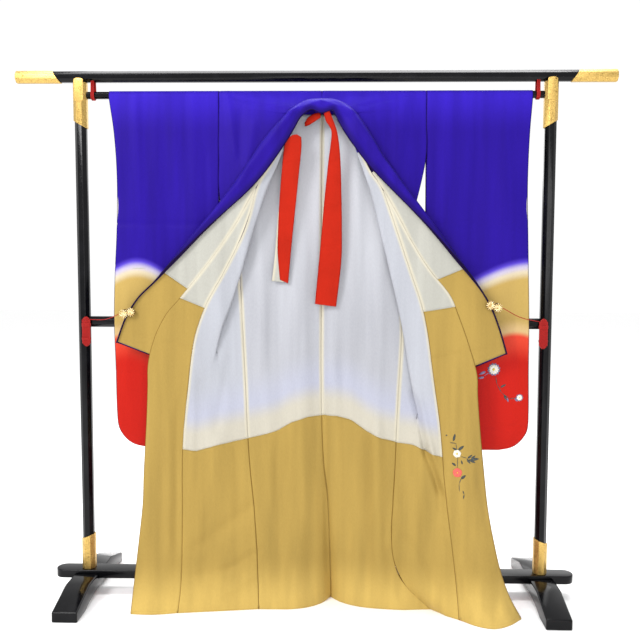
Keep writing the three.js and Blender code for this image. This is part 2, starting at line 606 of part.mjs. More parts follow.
// ---------------------------------------------------------------- the stand
function octagonBar(flats, length, axis) {
  const radius = flats / 2 / Math.cos(Math.PI / 8);
  const geometry = new THREE.CylinderGeometry(radius, radius, length, 8, 1);
  geometry.rotateY(Math.PI / 8);
  if (axis === 'x') geometry.rotateZ(Math.PI / 2);
  if (axis === 'z') geometry.rotateX(Math.PI / 2);
  return geometry;
}

function extruded(shape, depth, curveSegments) {
  return new THREE.ExtrudeGeometry(shape, { depth, bevelEnabled: false, curveSegments });
}

function octagonShape(flats) {
  const radius = flats / 2 / Math.cos(Math.PI / 8);
  const corners = Array.from({ length: 8 }, (_, i) => {
    const a = ((i + 0.5) * Math.PI) / 4;
    return new THREE.Vector2(radius * Math.cos(a), radius * Math.sin(a));
  });
  return new THREE.Shape(corners);
}

// An eight-sided sleeve with a bore, standing on z = 0.
function octagonSleeve(outer, inner, height) {
  const shape = octagonShape(outer);
  shape.holes.push(new THREE.Path(octagonShape(inner).getPoints().reverse()));
  return extruded(shape, height, 1);
}

function toSolid(geometry) {
  const bare = geometry.clone();
  bare.deleteAttribute('normal');
  bare.deleteAttribute('uv');
  const merged = mergeVertices(bare, 1e-4);
  return new wasm.Manifold(new wasm.Mesh({
    numProp: 3,
    vertProperties: new Float32Array(merged.attributes.position.array),
    triVerts: new Uint32Array(merged.index.array),
  }));
}

function toGeometry(solid) {
  const mesh = solid.getMesh();
  const geometry = new THREE.BufferGeometry();
  geometry.setAttribute('position', new THREE.BufferAttribute(new Float32Array(mesh.vertProperties), 3));
  geometry.setIndex(Array.from(mesh.triVerts));
  return geometry;
}

const signs = [['left', -1], ['right', 1]];

// The top bar, necked under its gilt ends.
const barCore = BAR.length - 2 * BAR.capLength;
add('top_bar', octagonBar(BAR.flats, barCore - 2 * TOUCH, 'x').translate(0, 0, BAR.z), 'lacquer');
for (const [side, sign] of signs) {
  const cap = octagonBar(BAR.capFlats, BAR.capLength, 'x');
  add(`bar_end_${side}`, cap.translate(sign * (BAR.length - BAR.capLength) / 2, 0, BAR.z), 'gilt');
}

add('hanging_rod', octagonBar(ROD.flats, ROD.length, 'x').translate(0, 0, ROD.z), 'lacquer');
const railLength = 2 * POST.x - POST.flats - 2 * TOUCH;
add('mid_rail', octagonBar(RAIL.flats, railLength, 'x').translate(0, 0, RAIL.z), 'lacquer');

// Posts stand on the beam and stop under the top bar.
const postTop = BAR.z - BAR.flats / 2 - TOUCH;
const postLow = BEAM.top + TOUCH;
for (const [side, sign] of signs) {
  const post = octagonBar(POST.flats, postTop - postLow, 'z');
  add(`post_${side}`, post.translate(sign * POST.x, 0, (postTop + postLow) / 2), 'lacquer');
  const bore = POST.flats + 2 * TOUCH;
  const sleeve = octagonSleeve(POST_CAP.flats, bore, postTop - POST_CAP.low);
  sleeve.translate(sign * POST.x, 0, POST_CAP.low);
  let cap = toSolid(sleeve);
  for (const face of [-1, 1]) {
    const half = POST_CAP.tongueWidth / 2;
    const shape = new THREE.Shape();
    shape.moveTo(-half, POST_CAP.low + 60);
    shape.lineTo(half, POST_CAP.low + 60);
    shape.lineTo(half, POST_CAP.tongueTop - half);
    shape.absarc(0, POST_CAP.tongueTop - half, half, 0, Math.PI, false);
    const tongue = extruded(shape, POST_CAP.wall, 12);
    tongue.rotateX(Math.PI / 2);
    const outerFace = POST_CAP.flats / 2 + 0.5;
    tongue.translate(sign * POST.x, face < 0 ? -outerFace + POST_CAP.wall : outerFace, 0);
    cap = cap.add(toSolid(tongue));
  }
  add(`post_cap_${side}`, toGeometry(cap), 'gilt');
  const shoe = octagonSleeve(POST_SHOE.flats, bore, POST_SHOE.height);
  add(`post_shoe_${side}`, shoe.translate(sign * POST.x, 0, BEAM.top + TOUCH), 'gilt');
}

// The base beam, with round ends, let into a notch in each foot.
{
  const half = BEAM.depth / 2;
  const shape = new THREE.Shape();
  shape.absarc(BEAM.length / 2 - half, 0, half, -Math.PI / 2, Math.PI / 2, false);
  shape.absarc(-BEAM.length / 2 + half, 0, half, Math.PI / 2, 1.5 * Math.PI, false);
  const beam = extruded(shape, BEAM.top - BEAM.low, 10);
  add('base_beam', beam.translate(0, 0, BEAM.low), 'lacquer');
}

for (const [side, sign] of signs) {
  const notch = BEAM.depth / 2 + TOUCH;
  const shape = new THREE.Shape();
  shape.moveTo(-FOOT.reach, 0);
  shape.lineTo(-FOOT.archHalf, 0);
  shape.quadraticCurveTo(-FOOT.archHalf * 0.7, FOOT.arch, 0, FOOT.arch);
  shape.quadraticCurveTo(FOOT.archHalf * 0.7, FOOT.arch, FOOT.archHalf, 0);
  shape.lineTo(FOOT.reach, 0);
  shape.lineTo(FOOT.reach, FOOT.tip);
  shape.lineTo(FOOT.flatHalf, FOOT.top);
  shape.lineTo(notch, FOOT.top);
  shape.lineTo(notch, BEAM.low - TOUCH);
  shape.lineTo(-notch, BEAM.low - TOUCH);
  shape.lineTo(-notch, FOOT.top);
  shape.lineTo(-FOOT.flatHalf, FOOT.top);
  shape.lineTo(-FOOT.reach, FOOT.tip);
  const foot = extruded(shape, FOOT.width, 6);
  foot.rotateX(Math.PI / 2);
  foot.rotateZ(Math.PI / 2);
  add(`foot_${side}`, foot.translate(sign * POST.x - FOOT.width / 2, 0, 0), 'lacquer');
}

// Flat cord loops that hang the rod from the top bar.
function stadium(halfWidth, low, high) {
  const shape = new THREE.Shape();
  shape.absarc(0, high - halfWidth, halfWidth, 0, Math.PI, false);
  shape.absarc(0, low + halfWidth, halfWidth, Math.PI, 2 * Math.PI, false);
  return shape;
}
for (const [side, sign] of signs) {
  const clear = BAR.flats / 2 / Math.cos(Math.PI / 8) + TOUCH;
  const low = ROD.z - ROD.flats / 2 - 0.9 - TOUCH;
  const shape = stadium(clear + LOOP.wall, low - LOOP.wall, BAR.z + clear + LOOP.wall);
  shape.holes.push(new THREE.Path(stadium(clear, low, BAR.z + clear).getPoints(6).reverse()));
  const loop = extruded(shape, LOOP.width, 6);
  loop.rotateX(Math.PI / 2);
  loop.rotateZ(Math.PI / 2);
  add(`rod_loop_${side}`, loop.translate(sign * LOOP.x - LOOP.width / 2, 0, 0), 'cord_red');
}

// A hank of cord on each post, its lead, and the clip that holds the collar's edge open.
const CLIPS = {
  left: { front: V(-565, -95.6, 927), back: V(-587, -73.4, 921), pinX: -591 },
  right: { front: V(547, -96.4, 953), back: V(569, -74, 946), pinX: 573 },
};

function petalDisc(centre, front) {
  const shape = new THREE.Shape();
  const steps = CLIP.petals * 2;
  for (let i = 0; i < steps; i++) {
    const a = (2 * Math.PI * i) / steps;
    const r = CLIP.radius * (i % 2 ? 0.88 : 1);
    if (i === 0) shape.moveTo(r * Math.cos(a), r * Math.sin(a));
    else shape.lineTo(r * Math.cos(a), r * Math.sin(a));
  }
  const disc = extruded(shape, CLIP.thick, 1);
  disc.rotateX(Math.PI / 2);
  return disc.translate(centre.x, centre.y + (front ? CLIP.thick : 0), centre.z);
}

for (const [side, sign] of signs) {
  const { front, back, pinX } = CLIPS[side];
  const pinLength = back.y - front.y;
  const pin = new THREE.CylinderGeometry(CLIP.pin, CLIP.pin, pinLength, 12, 1);
  pin.translate(pinX, (front.y + back.y) / 2, (front.z + back.z) / 2 - 2);
  let clip = toSolid(petalDisc(front, true)).add(toSolid(petalDisc(back, false)));
  const arm = new THREE.BoxGeometry(Math.abs(pinX - front.x) + 4, CLIP.thick, 8);
  arm.translate((pinX + front.x) / 2 + sign * 2, front.y + CLIP.thick / 2, (front.z + back.z) / 2 - 2);
  clip = clip.add(toSolid(pin)).add(toSolid(arm));
  add(`clip_${side}`, toGeometry(clip), 'gilt');

  const postFace = -POST.flats / 2 - TOUCH;
  const hankShape = stadium(HANK.width / 2, HANK.low, HANK.high);
  const hank = extruded(hankShape, HANK.depth, 7);
  hank.rotateX(Math.PI / 2);
  add(`cord_hank_${side}`, hank.translate(sign * HANK.x, postFace, 0), 'cord_red');

  const start = V(sign * (HANK.x - HANK.width / 2 - TOUCH), postFace - HANK.depth / 2, HANK.high - 10);
  const end = V(back.x + sign * (CLIP.radius + TOUCH), back.y + 0, back.z);
  const middle = mix(start, end, 0.5).add(V(0, 0, -CLIP_CORD.sag));
  const route = new THREE.CatmullRomCurve3([start, middle, end]);
  const section = new THREE.Shape(Array.from({ length: CLIP_CORD.sides }, (_, i) => {
    const a = (2 * Math.PI * i) / CLIP_CORD.sides;
    return new THREE.Vector2(CLIP_CORD.radius * Math.cos(a), CLIP_CORD.radius * Math.sin(a));
  }));
  add(`clip_cord_${side}`, new THREE.ExtrudeGeometry(section, { extrudePath: route, steps: 8 }), 'cord_red');
}

export default group;
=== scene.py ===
import math

import bmesh
import bpy
import numpy as np
from mathutils import Matrix, Vector
from mathutils.bvhtree import BVHTree


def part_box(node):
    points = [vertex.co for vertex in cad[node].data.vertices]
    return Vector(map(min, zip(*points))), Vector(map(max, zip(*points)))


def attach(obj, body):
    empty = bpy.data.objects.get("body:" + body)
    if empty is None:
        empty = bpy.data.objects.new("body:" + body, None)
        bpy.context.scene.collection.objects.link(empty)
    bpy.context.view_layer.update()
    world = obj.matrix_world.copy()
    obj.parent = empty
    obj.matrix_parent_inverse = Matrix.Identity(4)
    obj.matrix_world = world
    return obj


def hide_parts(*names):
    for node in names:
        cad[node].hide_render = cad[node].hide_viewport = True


# A furisode kimono hung open on a lacquered stand. Sizes are millimetres unless a name ends in _m.
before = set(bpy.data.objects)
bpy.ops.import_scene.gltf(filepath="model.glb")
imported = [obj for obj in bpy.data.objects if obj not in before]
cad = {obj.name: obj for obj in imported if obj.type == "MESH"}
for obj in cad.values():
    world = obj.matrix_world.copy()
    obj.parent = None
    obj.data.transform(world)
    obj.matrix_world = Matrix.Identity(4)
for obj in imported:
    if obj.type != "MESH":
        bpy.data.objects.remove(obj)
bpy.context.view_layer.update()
MM = 0.001

CLOTH_THICK = 0.8       # silk crepe, drawn as thick as a lined edge
LINING_THICK = 0.6
LINING_BACK = -1.5      # the lining lies this far inside the outer silk's middle
RIM_WIDTH = 1.3         # faces narrower than this are a cloth wall's cut edge
GRID_STEP = {"across": 5.5, "along": 7.5}
FLOOR_GAP = 0.2         # the hem just clears the floor
SIDES = (("left", 1), ("right", -1))


def table(columns, *rows):
    """Rows of values as dictionaries under the named columns."""
    return [dict(zip(columns.split(), row)) for row in rows]


# ---------------------------------------------------------------- colours and shader nodes
def linear(code):
    """An sRGB hex value as linear colour."""
    channels = [int(code[i:i + 2], 16) / 255 for i in (1, 3, 5)]
    return [c / 12.92 if c <= 0.04045 else ((c + 0.055) / 1.055) ** 2.4 for c in channels] + [1.0]


def put(tree, kind, settings=None, links=None):
    """Adds a shader node with its settings and links. A link starts at a socket or at a node's first output."""
    made = tree.nodes.new("ShaderNode" + kind)
    for name, value in (settings or {}).items():
        if isinstance(name, int) or name in made.inputs:
            made.inputs[name].default_value = value
        else:
            setattr(made, name, value)
    for name, source in (links or {}).items():
        socket = source if isinstance(source, bpy.types.NodeSocket) else source.outputs[0]
        tree.links.new(socket, made.inputs[name])
    return made


def new_material(name, **shader_values):
    """A node material with its shader and its object coordinates in metres."""
    material = bpy.data.materials.new(name)
    material.use_nodes = True
    tree = material.node_tree
    tree.nodes.clear()
    shader = put(tree, "BsdfPrincipled", {k.replace("_", " "): v for k, v in shader_values.items()})
    put(tree, "OutputMaterial", links={"Surface": shader})
    return material, tree, shader, put(tree, "TexCoord").outputs["Object"]


def dyed_over(tree, under, code, measure, start, end):
    """Another colour over the cloth's own (a hex value or a socket), from none at start to full at end."""
    share = put(tree, "MapRange",
                {"interpolation_type": "SMOOTHSTEP", "From Min": start, "From Max": end}, {"Value": measure})
    settings, links = {"data_type": "RGBA", 7: linear(code)}, {0: share}
    if isinstance(under, str):
        settings[6] = linear(under)
    else:
        links[6] = under
    return put(tree, "Mix", settings, links).outputs[2]


def clouded(tree, colour, vector, size_m, low, high, detail=2.0):
    """The colour made paler and deeper in patches of a size (x, y, z)."""
    placed = put(tree, "Mapping", {"Scale": [1 / s for s in size_m]}, {"Vector": vector})
    patches = put(tree, "TexNoise", {"Scale": 1.0, "Detail": detail}, {"Vector": placed})
    depth = put(tree, "MapRange", {"From Min": 0.3, "From Max": 0.7, "To Min": low, "To Max": high},
                {"Value": patches})
    return put(tree, "Mix", {"data_type": "RGBA", "blend_type": "MULTIPLY", 0: 1.0},
               {6: colour, 7: depth}).outputs[2]


def surfaced(tree, shader, colour, height, strength, depth_m):
    """Gives the shader its colour, and relief from a height."""
    relief = put(tree, "Bump", {"Strength": strength, "Distance": depth_m}, {"Height": height})
    tree.links.new(colour, shader.inputs["Base Color"])
    tree.links.new(relief.outputs[0], shader.inputs["Normal"])


WAVE = 0.314        # a wave texture of this scale repeats once a metre
THREAD_M = 0.0026   # a crepe thread is 0.3 mm, too fine to show, so it is drawn nine times as coarse
CRINKLE_M = 0.008   # the crepe's pebbled grain
RUMPLE_M = 0.11     # soft unevenness of hanging silk
STRAND_M = 0.0026   # a strand of the red cord


def crepe(tree, shader, colour, rumple=1.0):
    """Gives the shader a dyed crepe's colour and surface: crossed threads, pebbled grain and soft rumples."""
    uv = put(tree, "UVMap").outputs[0]
    place = put(tree, "TexCoord").outputs["Object"]
    colour = clouded(tree, colour, uv, (0.004, 0.009, 1), 0.965, 1.02, 1.0)
    colour = clouded(tree, colour, place, (0.05, 0.05, 0.35), 0.95, 1.045)
    tree.links.new(colour, shader.inputs["Base Color"])
    warp, weft = [put(tree, "TexWave", {"bands_direction": way, "Scale": WAVE / THREAD_M, "Distortion": 1.5},
                      {"Vector": uv}).outputs["Fac"] for way in "XY"]
    threads = put(tree, "Math", {"operation": "ADD"}, {0: warp, 1: weft})
    pebbles = put(tree, "TexNoise", {"Scale": 1 / CRINKLE_M, "Detail": 2.0}, {"Vector": uv})
    stretched = put(tree, "Mapping", {"Scale": (1.0, 1.0, 0.3)}, {"Vector": place})
    swells = put(tree, "TexNoise", {"Scale": 1 / RUMPLE_M, "Detail": 1.5}, {"Vector": stretched})
    cloth = put(tree, "Bump", {"Strength": 0.35, "Distance": 0.0002}, {"Height": threads})
    for height, strength, depth_m in ((pebbles, 0.3, 0.0007), (swells, 0.5 * rumple, 0.012)):
        cloth = put(tree, "Bump", {"Strength": strength, "Distance": depth_m},
                    {"Height": height, "Normal": cloth})
    tree.links.new(cloth.outputs[0], shader.inputs["Normal"])


SILK = {"Roughness": 0.5, "Specular_IOR_Level": 0.3, "Sheen_Weight": 0.05, "Sheen_Roughness": 0.35}
GOLD_DYE, RED_DYE, BLUE_DYE = "#937a3f", "#a61c08", "#1e0e78"


def seam_shade(tree, colour, line, glow=None):
    """A thin sewn line on each long edge, and inside it a paler band where the seam lies double."""
    edge = put(tree, "Attribute", {"attribute_name": "from_edge"}).outputs["Fac"]
    if glow:
        colour = dyed_over(tree, colour, glow, edge, 0.012, 0.003)
    return dyed_over(tree, colour, line, edge, 0.0022, 0.0004)


def outer_silk(name, painted_edge_shade=False, soft=1.0, **dye):
    """Blue crepe, shaded by brush into a gold cloud and a red hem below it, and paler at the top as painted
    light.
    With the flag set, painted shade darkens its free edge and ends. soft: how far the brush spread the dye."""
    material, tree, shader, place = new_material(
        name, Sheen_Tint=linear("#84609a"), Specular_Tint=linear("#80609a"), **SILK)
    axes = put(tree, "SeparateXYZ", links={0: place}).outputs
    # Painted light: the blue turns paler above 1.48 m, on the shoulders and the collar's arch, as if lit from
    # above.
    colour = dyed_over(tree, BLUE_DYE, "#2a199a", axes["Z"], 1.48, 1.62)
    colour = clouded(tree, colour, place, (0.03, 0.03, 0.5), 0.92, 1.10)
    if dye:
        def edge_of(x0, width, depth):
            """Height above a row of round cloud tops with a crest at x0."""
            turn = put(tree, "Math", {"operation": "MULTIPLY_ADD", 1: math.pi / width,
                                      2: -math.pi * x0 / width}, {0: axes["X"]})
            wave = put(tree, "Math", {"operation": "COSINE"}, {0: turn})
            crest = put(tree, "Math", {"operation": "ABSOLUTE"}, {0: wave})
            drop = put(tree, "Math", {"operation": "MULTIPLY_ADD", 1: -depth, 2: depth}, {0: crest})
            return put(tree, "Math", {"operation": "ADD"}, {0: axes["Z"], 1: drop}).outputs[0]

        gold = edge_of(dye["gold_x"], dye["gold_width"], dye["gold_depth"])
        red = edge_of(dye["red_x"], dye["red_width"], dye["red_depth"])
        for cloud, level, code, start, end in (
            (gold, dye["gold"], "#4b3aae", 0.056, 0.034), (gold, dye["gold"], "#a9a2b4", 0.042, 0.020),
            (gold, dye["gold"], "#b9ad92", 0.023, 0.006), (gold, dye["gold"], "#a68c4c", 0.010, -0.018),
            (red, dye["red"], "#b89c6c", 0.055, 0.012), (red, dye["red"], "#bd3c26", 0.014, -0.008),
            (red, dye["red"], RED_DYE, -0.012, -0.090),
        ):
            colour = dyed_over(tree, colour, code, cloud, level + start * soft, level + end * soft)
    # Painted shade: near black along the free edge and at both ends, wider towards the tips, where the collar
    # turns under, away from the light.
    if painted_edge_shade:
        from_edge, from_end = [put(tree, "Attribute", {"attribute_name": name}).outputs["Fac"]
                               for name in ("from_edge", "from_end")]
        reach = put(tree, "MapRange", {"From Min": 0.30, "From Max": 0.55, "To Min": -0.008, "To Max": 0.0},
                    {"Value": from_end})
        shade_measure = put(tree, "Math", {"operation": "ADD"}, {0: from_edge, 1: reach}).outputs[0]
        for code, measure, start, end in (("#150a58", shade_measure, 0.026, 0.006), ("#0b0522", shade_measure, 0.005, 0.001),
                                          ("#0b0522", from_end, 0.005, 0.001)):
            colour = dyed_over(tree, colour, code, measure, start, end)
    crepe(tree, shader, seam_shade(tree, colour, "#160a30"))
    return material


def lining_silk(name, base, seam="#b0aa98", painted_light_above=None, **tint):
    """Fine plain silk in soft upright bands of painted shade for its folds, with a brushed haze above the gold
    hem lining, and if asked, painted light that makes it paler towards the top.
    """
    material, tree, shader, place = new_material(name, Sheen_Tint=linear("#ffffff"), **SILK)
    base_node = put(tree, "RGB")
    base_node.outputs[0].default_value = linear(base)
    # Painted shade: soft bands drawn long and upright, darker and paler, stand in for the shade of the lining's
    # folds.
    colour = clouded(tree, base_node.outputs[0], place, (0.035, 0.05, 0.9), 0.92, 1.06)
    # Painted light: paler from 0.85 m up to 1.45 m, lifting the shade high on the lining.
    if painted_light_above:
        axes = put(tree, "SeparateXYZ", links={0: place}).outputs
        colour = dyed_over(tree, colour, painted_light_above, axes["Z"], 0.85, 1.45)
    if tint:
        height = put(tree, "Attribute", {"attribute_name": "from_end"}).outputs["Fac"]
        colour = dyed_over(tree, colour, tint["lavender"], height, 0.22, 0.10)
        colour = dyed_over(tree, colour, tint["cream"], height, 0.11, 0.045)
    crepe(tree, shader, seam_shade(tree, colour, "#a8a294", seam), 0.7)
    return material


def hem_silk(name, base=GOLD_DYE):
    """Gold crepe lining the hem, with painted light: paler low down, below 0.16 m, where it flares out at the
    floor.
    """
    material, tree, shader, place = new_material(
        name, Sheen_Tint=linear("#ffe9b0"), Specular_Tint=linear("#f2d890"), **SILK)
    height = put(tree, "SeparateXYZ", links={0: place}).outputs["Z"]
    # Painted light: the gold turns paler near the floor, where the hem flares towards the light.
    colour = dyed_over(tree, base, "#b39752", height, 0.16, 0.02)
    colour = clouded(tree, colour, place, (0.045, 0.08, 0.6), 0.89, 1.09)
    crepe(tree, shader, seam_shade(tree, colour, "#6b4d18"), 1.5)
    return material


def red_silk(name):
    """Scarlet plain silk of the ties, pressed flat."""
    material, tree, shader, place = new_material(
        name, Sheen_Tint=linear("#ff9a88"), Specular_Tint=linear("#ff8068"), **SILK)
    from_edge = put(tree, "Attribute", {"attribute_name": "from_edge"}).outputs["Fac"]
    colour = dyed_over(tree, "#8a1307", "#9a1b0d", from_edge, 0.0, 0.006)
    colour = clouded(tree, colour, place, (0.08, 0.08, 0.08), 0.92, 1.05)
    crepe(tree, shader, colour, 0.5)
    return material


def lacquer():
    """Black urushi lacquer, brushed and polished: mirror gloss with a faint orange peel and fine dust."""
    material, tree, shader, place = new_material(
        "polished_black_lacquer", Roughness=0.13, Specular_IOR_Level=0.18)
    depth = put(tree, "TexNoise", {"Scale": 1 / 0.05, "Detail": 4.0}, {"Vector": place}).outputs[0]
    colour = dyed_over(tree, "#040406", "#0a0a0d", depth, 0.45, 0.7)
    peel = put(tree, "TexNoise", {"Scale": 1 / 0.018, "Detail": 2.0}, {"Vector": place})
    surfaced(tree, shader, colour, peel, 0.12, 0.0006)
    dust = put(tree, "TexNoise", {"Scale": 1 / 0.004, "Detail": 3.0}, {"Vector": place})
    dull = put(tree, "MapRange", {"From Min": 0.4, "From Max": 0.75, "To Min": 0.1, "To Max": 0.24},
               {"Value": dust})
    tree.links.new(dull.outputs[0], shader.inputs["Roughness"])
    return material


def gilt():
    """Gilt brass, chased all over with small scrolls: dark in the cuts, bright on the high parts."""
    material, tree, shader, place = new_material("chased_gilt_brass", Metallic=0.85, Roughness=0.4)
    swirl = put(tree, "TexNoise", {"Scale": 1 / 0.012, "Detail": 1.0, "Distortion": 2.2}, {"Vector": place})
    scrolls = put(tree, "Math", {"operation": "PINGPONG", 1: 0.06}, {0: swirl})
    colour = dyed_over(tree, "#5a3b0e", "#dab768", scrolls.outputs[0], 0.0, 0.034)
    surfaced(tree, shader, colour, scrolls, 0.5, 0.0008)
    return material


def petal_brass(name, deep, pale):
    """Gilt brass mottled in small patches between a deep and a pale tone; a pale copy is the petals' painted
    highlight, a dark copy the painted shade between them.
    """
    material, tree, shader, place = new_material(name, Metallic=0.6, Roughness=0.3)
    mottle = put(tree, "TexNoise", {"Scale": 1 / 0.006, "Detail": 2.0}, {"Vector": place})
    surfaced(tree, shader, dyed_over(tree, deep, pale, mottle.outputs[0], 0.35, 0.6), mottle, 0.3, 0.0004)
    return material


def red_cord():
    """Twisted red rayon cord: slanting strands of about 2 mm, with painted shade in the gaps between them."""
    material, tree, shader, place = new_material("twisted_red_cord", Roughness=0.6, Specular_IOR_Level=0.2)
    turned = put(tree, "Mapping", {"Rotation": (0, math.radians(35), 0)}, {"Vector": place})
    strands = put(tree, "TexWave", {"bands_direction": "Z", "Scale": WAVE / STRAND_M, "Distortion": 0.8},
                  {"Vector": turned}).outputs["Fac"]
    # Painted shade: the red darkens in the gaps between the strands.
    surfaced(tree, shader, dyed_over(tree, "#560a0b", "#a81a16", strands, 0.05, 0.5), strands, 0.6, 0.0006)
    return material


# ---------------------------------------------------------------- reading the cloth's form
def one_copy(name):
    """A merged copy of a CAD node's loose triangles."""
    bm = bmesh.new()
    bm.from_mesh(cad[name].data)
    bmesh.ops.remove_doubles(bm, verts=bm.verts, dist=1e-5)
    return bm


def islands_of(bm):
    """The joined groups of vertices."""
    left = set(bm.verts)
    found = []
    while left:
        island, reach = set(), [left.pop()]
        while reach:
            vert = reach.pop()
            island.add(vert)
            for edge in vert.link_edges:
                other = edge.other_vert(vert)
                if other in left:
                    left.discard(other)
                    reach.append(other)
        found.append(island)
    return found


def edge_run(first, second, corners):
    """The border from one corner to the next."""
    run = [first, second]
    while run[-1] not in corners:
        here = run[-1]
        borders = [e.other_vert(here) for e in here.link_edges if e.is_boundary]
        run.append(next(v for v in borders if v is not run[-2]))
    return run


def walk(island, columns, start):
    """One face of a wall as rows of points, beginning at the corner nearest start."""
    border = [v for v in island if any(e.is_boundary for e in v.link_edges)]
    corners = [v for v in border if len(v.link_edges) < 4]
    first = min(corners, key=lambda v: (v.co - start).length)
    ways = [e.other_vert(first) for e in first.link_edges if e.is_boundary]
    runs = sorted((edge_run(first, way, corners) for way in ways), key=lambda run: len(run) != columns)
    rows = [runs[0]]
    near = {v: {e.other_vert(v) for e in v.link_edges} for v in island}
    for begin in runs[1][1:]:
        above, row = rows[-1], [begin]
        for j in range(1, columns):
            row.append((near[above[j]] & near[row[-1]] - {above[j - 1]}).pop())
        rows.append(row)
    return np.array([[v.co[:] for v in row] for row in rows]) / MM


def read_wall(name, columns, start, rim_width=RIM_WIDTH):
    """A cloth wall's middle as rows of points, beginning at the corner nearest start."""
    bm = one_copy(name)
    bm.normal_update()
    narrow = [f for f in bm.faces if min(e.calc_length() for e in f.edges) < rim_width * MM]
    rim = [f for f in narrow if abs(f.normal.y) < 0.6 or not name.startswith("okumi")]
    bmesh.ops.delete(bm, geom=rim, context="FACES")
    faces = [walk(island, columns, Vector(start) * MM) for island in islands_of(bm)]
    bm.free()
    return sum(faces) / len(faces)


# ---------------------------------------------------------------- smooth cloth from that form
def smooth_read(points, cuts):
    """Reads lines of points smoothly. points: (n, lines, 3). cuts: (reads, lines), as point numbers."""
    steps = np.diff(points, axis=0)
    lengths = np.linalg.norm(steps, axis=-1, keepdims=True) + 1e-6
    slopes = np.concatenate([
        steps[:1] / lengths[:1],
        (points[2:] - points[:-2]) / (lengths[1:] + lengths[:-1]),
        steps[-1:] / lengths[-1:],
    ])
    at = np.clip(np.floor(cuts).astype(int), 0, len(points) - 2)
    t = (cuts - at)[..., None]
    line = np.arange(points.shape[1])[None, :]
    run = lengths[at, line]
    start, end = points[at, line], points[at + 1, line]
    leaving, arriving = slopes[at, line] * run, slopes[at + 1, line] * run
    return ((2 * t**3 - 3 * t**2 + 1) * start + (t**3 - 2 * t**2 + t) * leaving
            + (3 * t**2 - 2 * t**3) * end + (t**3 - t**2) * arriving)


def even_cuts(lengths, first, last, step):
    """Cuts from one point number to another, no further apart than about step along the cloth."""
    whole = [k for k in range(math.floor(first) + 1, math.ceil(last)) if first + 0.05 < k < last - 0.05]
    stops = [first, *whole, last]
    cuts = []
    for a, b in zip(stops, stops[1:]):
        cell = min(len(lengths) - 1, max(0, math.floor((a + b) / 2)))
        count = max(1, round(lengths[cell] * (b - a) / step))
        cuts += [a + (b - a) * k / count for k in range(count)]
    return np.array(cuts + [last])


def creased(points, creases):
    """How far forward each point moves. A crease row: its two ends, how wide, how high, how soft its ends."""
    lift = np.zeros(points.shape[:-1])
    for c in creases:
        top, low = np.array([c["x1"], c["z1"]]), np.array([c["x2"], c["z2"]])
        run = low - top
        length = np.linalg.norm(run)
        away = points[..., [0, 2]] - top
        along = (away @ run) / length
        off = (away[..., 0] * run[1] - away[..., 1] * run[0]) / length
        fade = c["fade"]
        ends = np.clip((along + fade) / fade, 0, 1) * np.clip((length + fade - along) / fade, 0, 1)
        ends = ends * ends * (3 - 2 * ends)
        lift += c["height"] * ends * np.exp(-(off / c["width"]) ** 2)
    return lift


